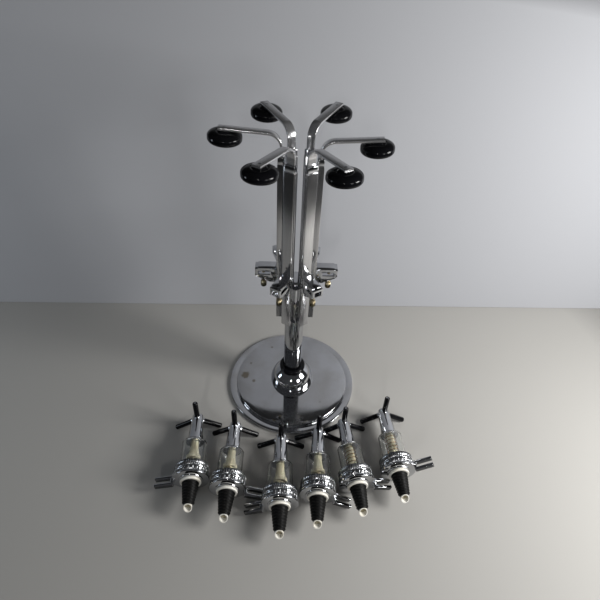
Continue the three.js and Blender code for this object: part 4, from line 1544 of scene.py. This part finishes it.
class STAND_OT_plungers(bpy.types.Operator):
    """Makes the chrome sleeves and the three black rods that a glass pushes"""

    bl_idname = "stand.plungers"
    bl_label = "Plungers"

    def execute(self, context):
        """Makes the pieces."""
        m = context.scene.measure_sizes
        at = measure_stations(m)
        bore = m.valve_radius + FIT_GAP
        nose_edge, rod_edge, outlet_depth = 0.0012, 0.0025, 0.010
        sleeve = turned([
            (m.outlet_radius, -m.nose_length),
            *arc((m.nose_radius - nose_edge, nose_edge - m.nose_length), nose_edge, -90, 0, 5),
            (m.sleeve_radius, at["flange_start"] - FINE_STEP),
            (m.sleeve_radius + FINE_STEP, at["flange_start"]),
            *arc((m.flange_radius - SMALL_STEP, at["flange_start"] + SMALL_STEP), SMALL_STEP, -90, 0, 3),
            *arc((m.flange_radius - SMALL_STEP, at["flange_end"] - SMALL_STEP), SMALL_STEP, 0, 90, 3),
            (bore, at["flange_end"]),
            (bore, outlet_depth),
            (m.outlet_radius, outlet_depth),
        ], 96, hollow=True)
        rod_start = m.nose_radius - 0.002
        dish_floor = m.rod_length - BROAD_STEP
        rod = turned([
            (0, rod_start),
            (m.rod_radius, rod_start),
            *arc((m.rod_radius - rod_edge, m.rod_length - rod_edge), rod_edge, 0, 90, 8),
            (0.0022, dish_floor),
            (0, dish_floor),
        ], 40)
        pin = turned([(radius, m.rod_length - depth) for radius, depth in ROD_PIN], 24)
        boss_radius = m.rod_radius + 0.0009
        boss_foot = m.outlet_radius + 0.001
        boss_end = m.nose_radius + 0.0017
        boss = turned([
            (0, boss_foot),
            (boss_radius, boss_foot),
            (boss_radius, boss_end - 0.0005),
            (boss_radius - FINE_STEP, boss_end),
            (m.rod_radius, boss_end),
            (m.rod_radius, boss_foot + 0.0005),
            (0, boss_foot + 0.0005),
        ], 40)
        for number in STATIONS:
            place = measure_place(number)
            bodies, shells = [(sleeve, 0)], []
            for index in range(3):
                turn = Matrix.Rotation(math.pi + math.tau * index / 3, 4, "Z")
                turn = turn @ Matrix.Rotation(QUARTER, 4, "Y")
                for source, which, wanted in ((rod, 0, shells), (pin, 1, shells), (boss, 0, bodies)):
                    shell = source.copy()
                    shell.transform(turn)
                    wanted.append((shell, which))
            make_piece(
                f"chrome_sleeve_{number}", bodies, [finish("chrome")], f"push_{number}",
                [f"measure_{number}_actuator"], place,
            )
            make_piece(
                f"push_rods_{number}", shells, [finish("black"), finish("chrome")], f"push_{number}",
                (), place,
            )
        return {"FINISHED"}


class STAND_OT_springs(bpy.types.Operator):
    """Winds the return springs that show"""

    bl_idname = "stand.springs"
    bl_label = "Return springs"

    def execute(self, context):
        """Makes the pieces."""
        m = context.scene.measure_sizes
        at = measure_stations(m)
        start = at["flange_end"] + FIT_GAP + m.wire_radius
        end = at["knurl_start"] - m.spring_seat_depth - FIT_GAP - m.wire_radius
        steps_per_curl = 36
        steps = steps_per_curl * m.spring_curls
        wire = bmesh.new()
        ring = bmesh.ops.create_circle(wire, radius=m.wire_radius, segments=10)["verts"]
        wire.transform(
            Matrix.Translation((m.spring_radius, 0, start)) @ Matrix.Rotation(QUARTER, 4, "X")
        )
        bmesh.ops.spin(
            wire, geom=ring + wire.edges[:], cent=(0, 0, 0), axis=(0, 0, 1),
            dvec=(0, 0, (end - start) / steps), angle=math.tau * m.spring_curls, steps=steps,
        )
        bmesh.ops.holes_fill(wire, edges=[e for e in wire.edges if e.is_boundary], sides=0)
        bmesh.ops.recalc_face_normals(wire, faces=wire.faces)
        for number in STATIONS:
            node = f"measure_{number}_spring"
            if node not in frame["nodes"]:
                continue
            place = measure_place(number)
            spring = make_piece(
                f"return_spring_{number}", [(wire, 0)], [finish("spring")], f"measure_{number}",
                [node], place, crease=60,
            )
            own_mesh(spring)
        return {"FINISHED"}


class STAND_OT_stage(bpy.types.Operator):
    """Sets the floor, the backdrop, the lamps and the camera"""

    bl_idname = "stand.stage"
    bl_label = "Stage"

    def execute(self, context):
        """Makes the stage."""
        colours = context.scene.finish_colours
        level = Matrix.Diagonal((*FLOOR_SIZE, 1, 1))
        self.panel("floor", colours.floor, level, (1, 1, 1), *FLOOR_FADE)
        line = Matrix.Translation(BACKDROP_PLACE) @ Matrix.Rotation(BACKDROP_TURN, 4, "Z")
        leaning = Matrix.Rotation(BACKDROP_LEAN, 4, "X") @ Matrix.Diagonal((*BACKDROP_SIZE, 1, 1))
        standing = Matrix.Translation((0, 0.5, 0))
        place = line @ leaning @ standing
        backdrop = self.panel("backdrop", colours.backdrop, place, BACKDROP_WEIGHTS, *BACKDROP_FADE)
        self.open_behind(backdrop)
        self.camera(context)
        for lamp in LAMPS:
            self.lamp(*lamp)
        world = bpy.data.worlds.new("room")
        world.use_nodes = True
        sky = world.node_tree.nodes["Background"]
        sky.inputs["Color"].default_value = ROOM_TINT
        sky.inputs["Strength"].default_value = ROOM_STRENGTH
        context.scene.world = world
        context.scene.view_settings.view_transform = "Standard"
        return {"FINISHED"}

    @staticmethod
    def panel(name, tint, place, weights, near, far):
        """A plain panel of the stage that darkens outside the picture by a weighted distance, painted shade
        that stands for the unlit room.
        """
        shell = bmesh.new()
        bmesh.ops.create_grid(shell, x_segments=1, y_segments=1, size=0.5)
        shell.transform(place)
        mesh = bpy.data.meshes.new(name)
        shell.to_mesh(mesh)
        shell.free()
        material, tree, shader = new_material(f"{name}_paint")
        mapping = tree.nodes.new("ShaderNodeMapping")
        mapping.inputs["Scale"].default_value = weights
        distance = tree.nodes.new("ShaderNodeVectorMath")
        distance.operation = "LENGTH"
        tree.links.new(coordinates(tree), mapping.inputs["Vector"])
        tree.links.new(mapping.outputs[0], distance.inputs[0])
        away = fitted_range(tree, distance.outputs["Value"], near, far)
        tinted(tree, shader, away, tuple(tint), scaled(tint, DARK_SHARE))
        shader.inputs["Roughness"].default_value = PANEL_ROUGHNESS
        mesh.materials.append(material)
        thing = bpy.data.objects.new(name, mesh)
        bpy.context.scene.collection.objects.link(thing)
        return thing

    @staticmethod
    def open_behind(panel):
        """Lets a panel be seen through from its back, so that it hides nothing in the views from there."""
        tree = panel.data.materials[0].node_tree
        side = tree.nodes.new("ShaderNodeNewGeometry")
        mix = tree.nodes.new("ShaderNodeMixShader")
        tree.links.new(side.outputs["Backfacing"], mix.inputs["Fac"])
        tree.links.new(tree.nodes["Principled BSDF"].outputs[0], mix.inputs[1])
        tree.links.new(tree.nodes.new("ShaderNodeBsdfTransparent").outputs[0], mix.inputs[2])
        tree.links.new(mix.outputs[0], tree.nodes["Material Output"].inputs["Surface"])

    @staticmethod
    def lamp(name, place, size, power, tint):
        """A soft rectangular lamp aimed at the stand."""
        data = bpy.data.lights.new(name, "AREA")
        data.shape = "RECTANGLE"
        data.size, data.size_y = size
        data.energy = power
        data.color = tint
        lamp = bpy.data.objects.new(name, data)
        lamp.location = place
        lamp.rotation_euler = (LAMP_AIM - Vector(place)).to_track_quat("-Z", "Y").to_euler()
        bpy.context.scene.collection.objects.link(lamp)

    @staticmethod
    def camera(context):
        """The camera at the photograph's place and angle."""
        data = bpy.data.cameras.new("camera")
        data.lens = CAMERA_LENS
        data.sensor_width = CAMERA_SENSOR
        data.clip_start = CAMERA_NEAR
        camera = bpy.data.objects.new("camera", data)
        bpy.context.scene.collection.objects.link(camera)
        tilt, yaw, roll = CAMERA_TILT, CAMERA_YAW, CAMERA_ROLL
        ahead = Vector((math.sin(yaw) * math.cos(tilt), math.cos(yaw) * math.cos(tilt), -math.sin(tilt)))
        level = Vector((math.cos(yaw), -math.sin(yaw), 0))
        over = level.cross(ahead)
        right = math.cos(roll) * level + math.sin(roll) * over
        up = math.cos(roll) * over - math.sin(roll) * level
        turn = Matrix((right, up, -ahead)).transposed().to_4x4()
        camera.matrix_world = Matrix.Translation(CAMERA_PLACE) @ turn
        context.scene.camera = camera


OPERATORS = (
    STAND_OT_stage,
    STAND_OT_base,
    STAND_OT_dome,
    STAND_OT_bush,
    STAND_OT_column,
    STAND_OT_posts,
    STAND_OT_blocks,
    STAND_OT_screws,
    STAND_OT_arms,
    STAND_OT_cups,
    STAND_OT_castings,
    STAND_OT_chambers,
    STAND_OT_valves,
    STAND_OT_stoppers,
    STAND_OT_plungers,
    STAND_OT_springs,
)


class STAND_PT_panel(bpy.types.Panel):
    """Lists the pieces and their sizes"""

    bl_idname = "STAND_PT_panel"
    bl_label = "Bar stand"
    bl_space_type = "VIEW_3D"
    bl_region_type = "UI"
    bl_category = "Bar stand"

    def draw(self, context):
        """Draws the panel."""
        for operator in OPERATORS:
            self.layout.operator(operator.bl_idname, text=operator.bl_label)
        for group in (context.scene.stand_sizes, context.scene.measure_sizes, context.scene.finish_colours):
            column = self.layout.column(align=True)
            for name in group.__annotations__:
                column.prop(group, name)


CLASSES = (StandSizes, MeasureSizes, FinishColours, *OPERATORS, STAND_PT_panel)


def register():
    """Registers the classes and hangs the sizes on the scene."""
    for each in CLASSES:
        bpy.utils.register_class(each)
    bpy.types.Scene.stand_sizes = bpy.props.PointerProperty(type=StandSizes)
    bpy.types.Scene.measure_sizes = bpy.props.PointerProperty(type=MeasureSizes)
    bpy.types.Scene.finish_colours = bpy.props.PointerProperty(type=FinishColours)


def unregister():
    """Takes the sizes off the scene and unregisters the classes."""
    del bpy.types.Scene.finish_colours
    del bpy.types.Scene.measure_sizes
    del bpy.types.Scene.stand_sizes
    for each in reversed(CLASSES):
        bpy.utils.unregister_class(each)


def main():
    """Makes every piece."""
    register()
    for operator in OPERATORS:
        group, name = operator.bl_idname.split(".")
        getattr(getattr(bpy.ops, group), name)()


if __name__ == "__main__":
    main()
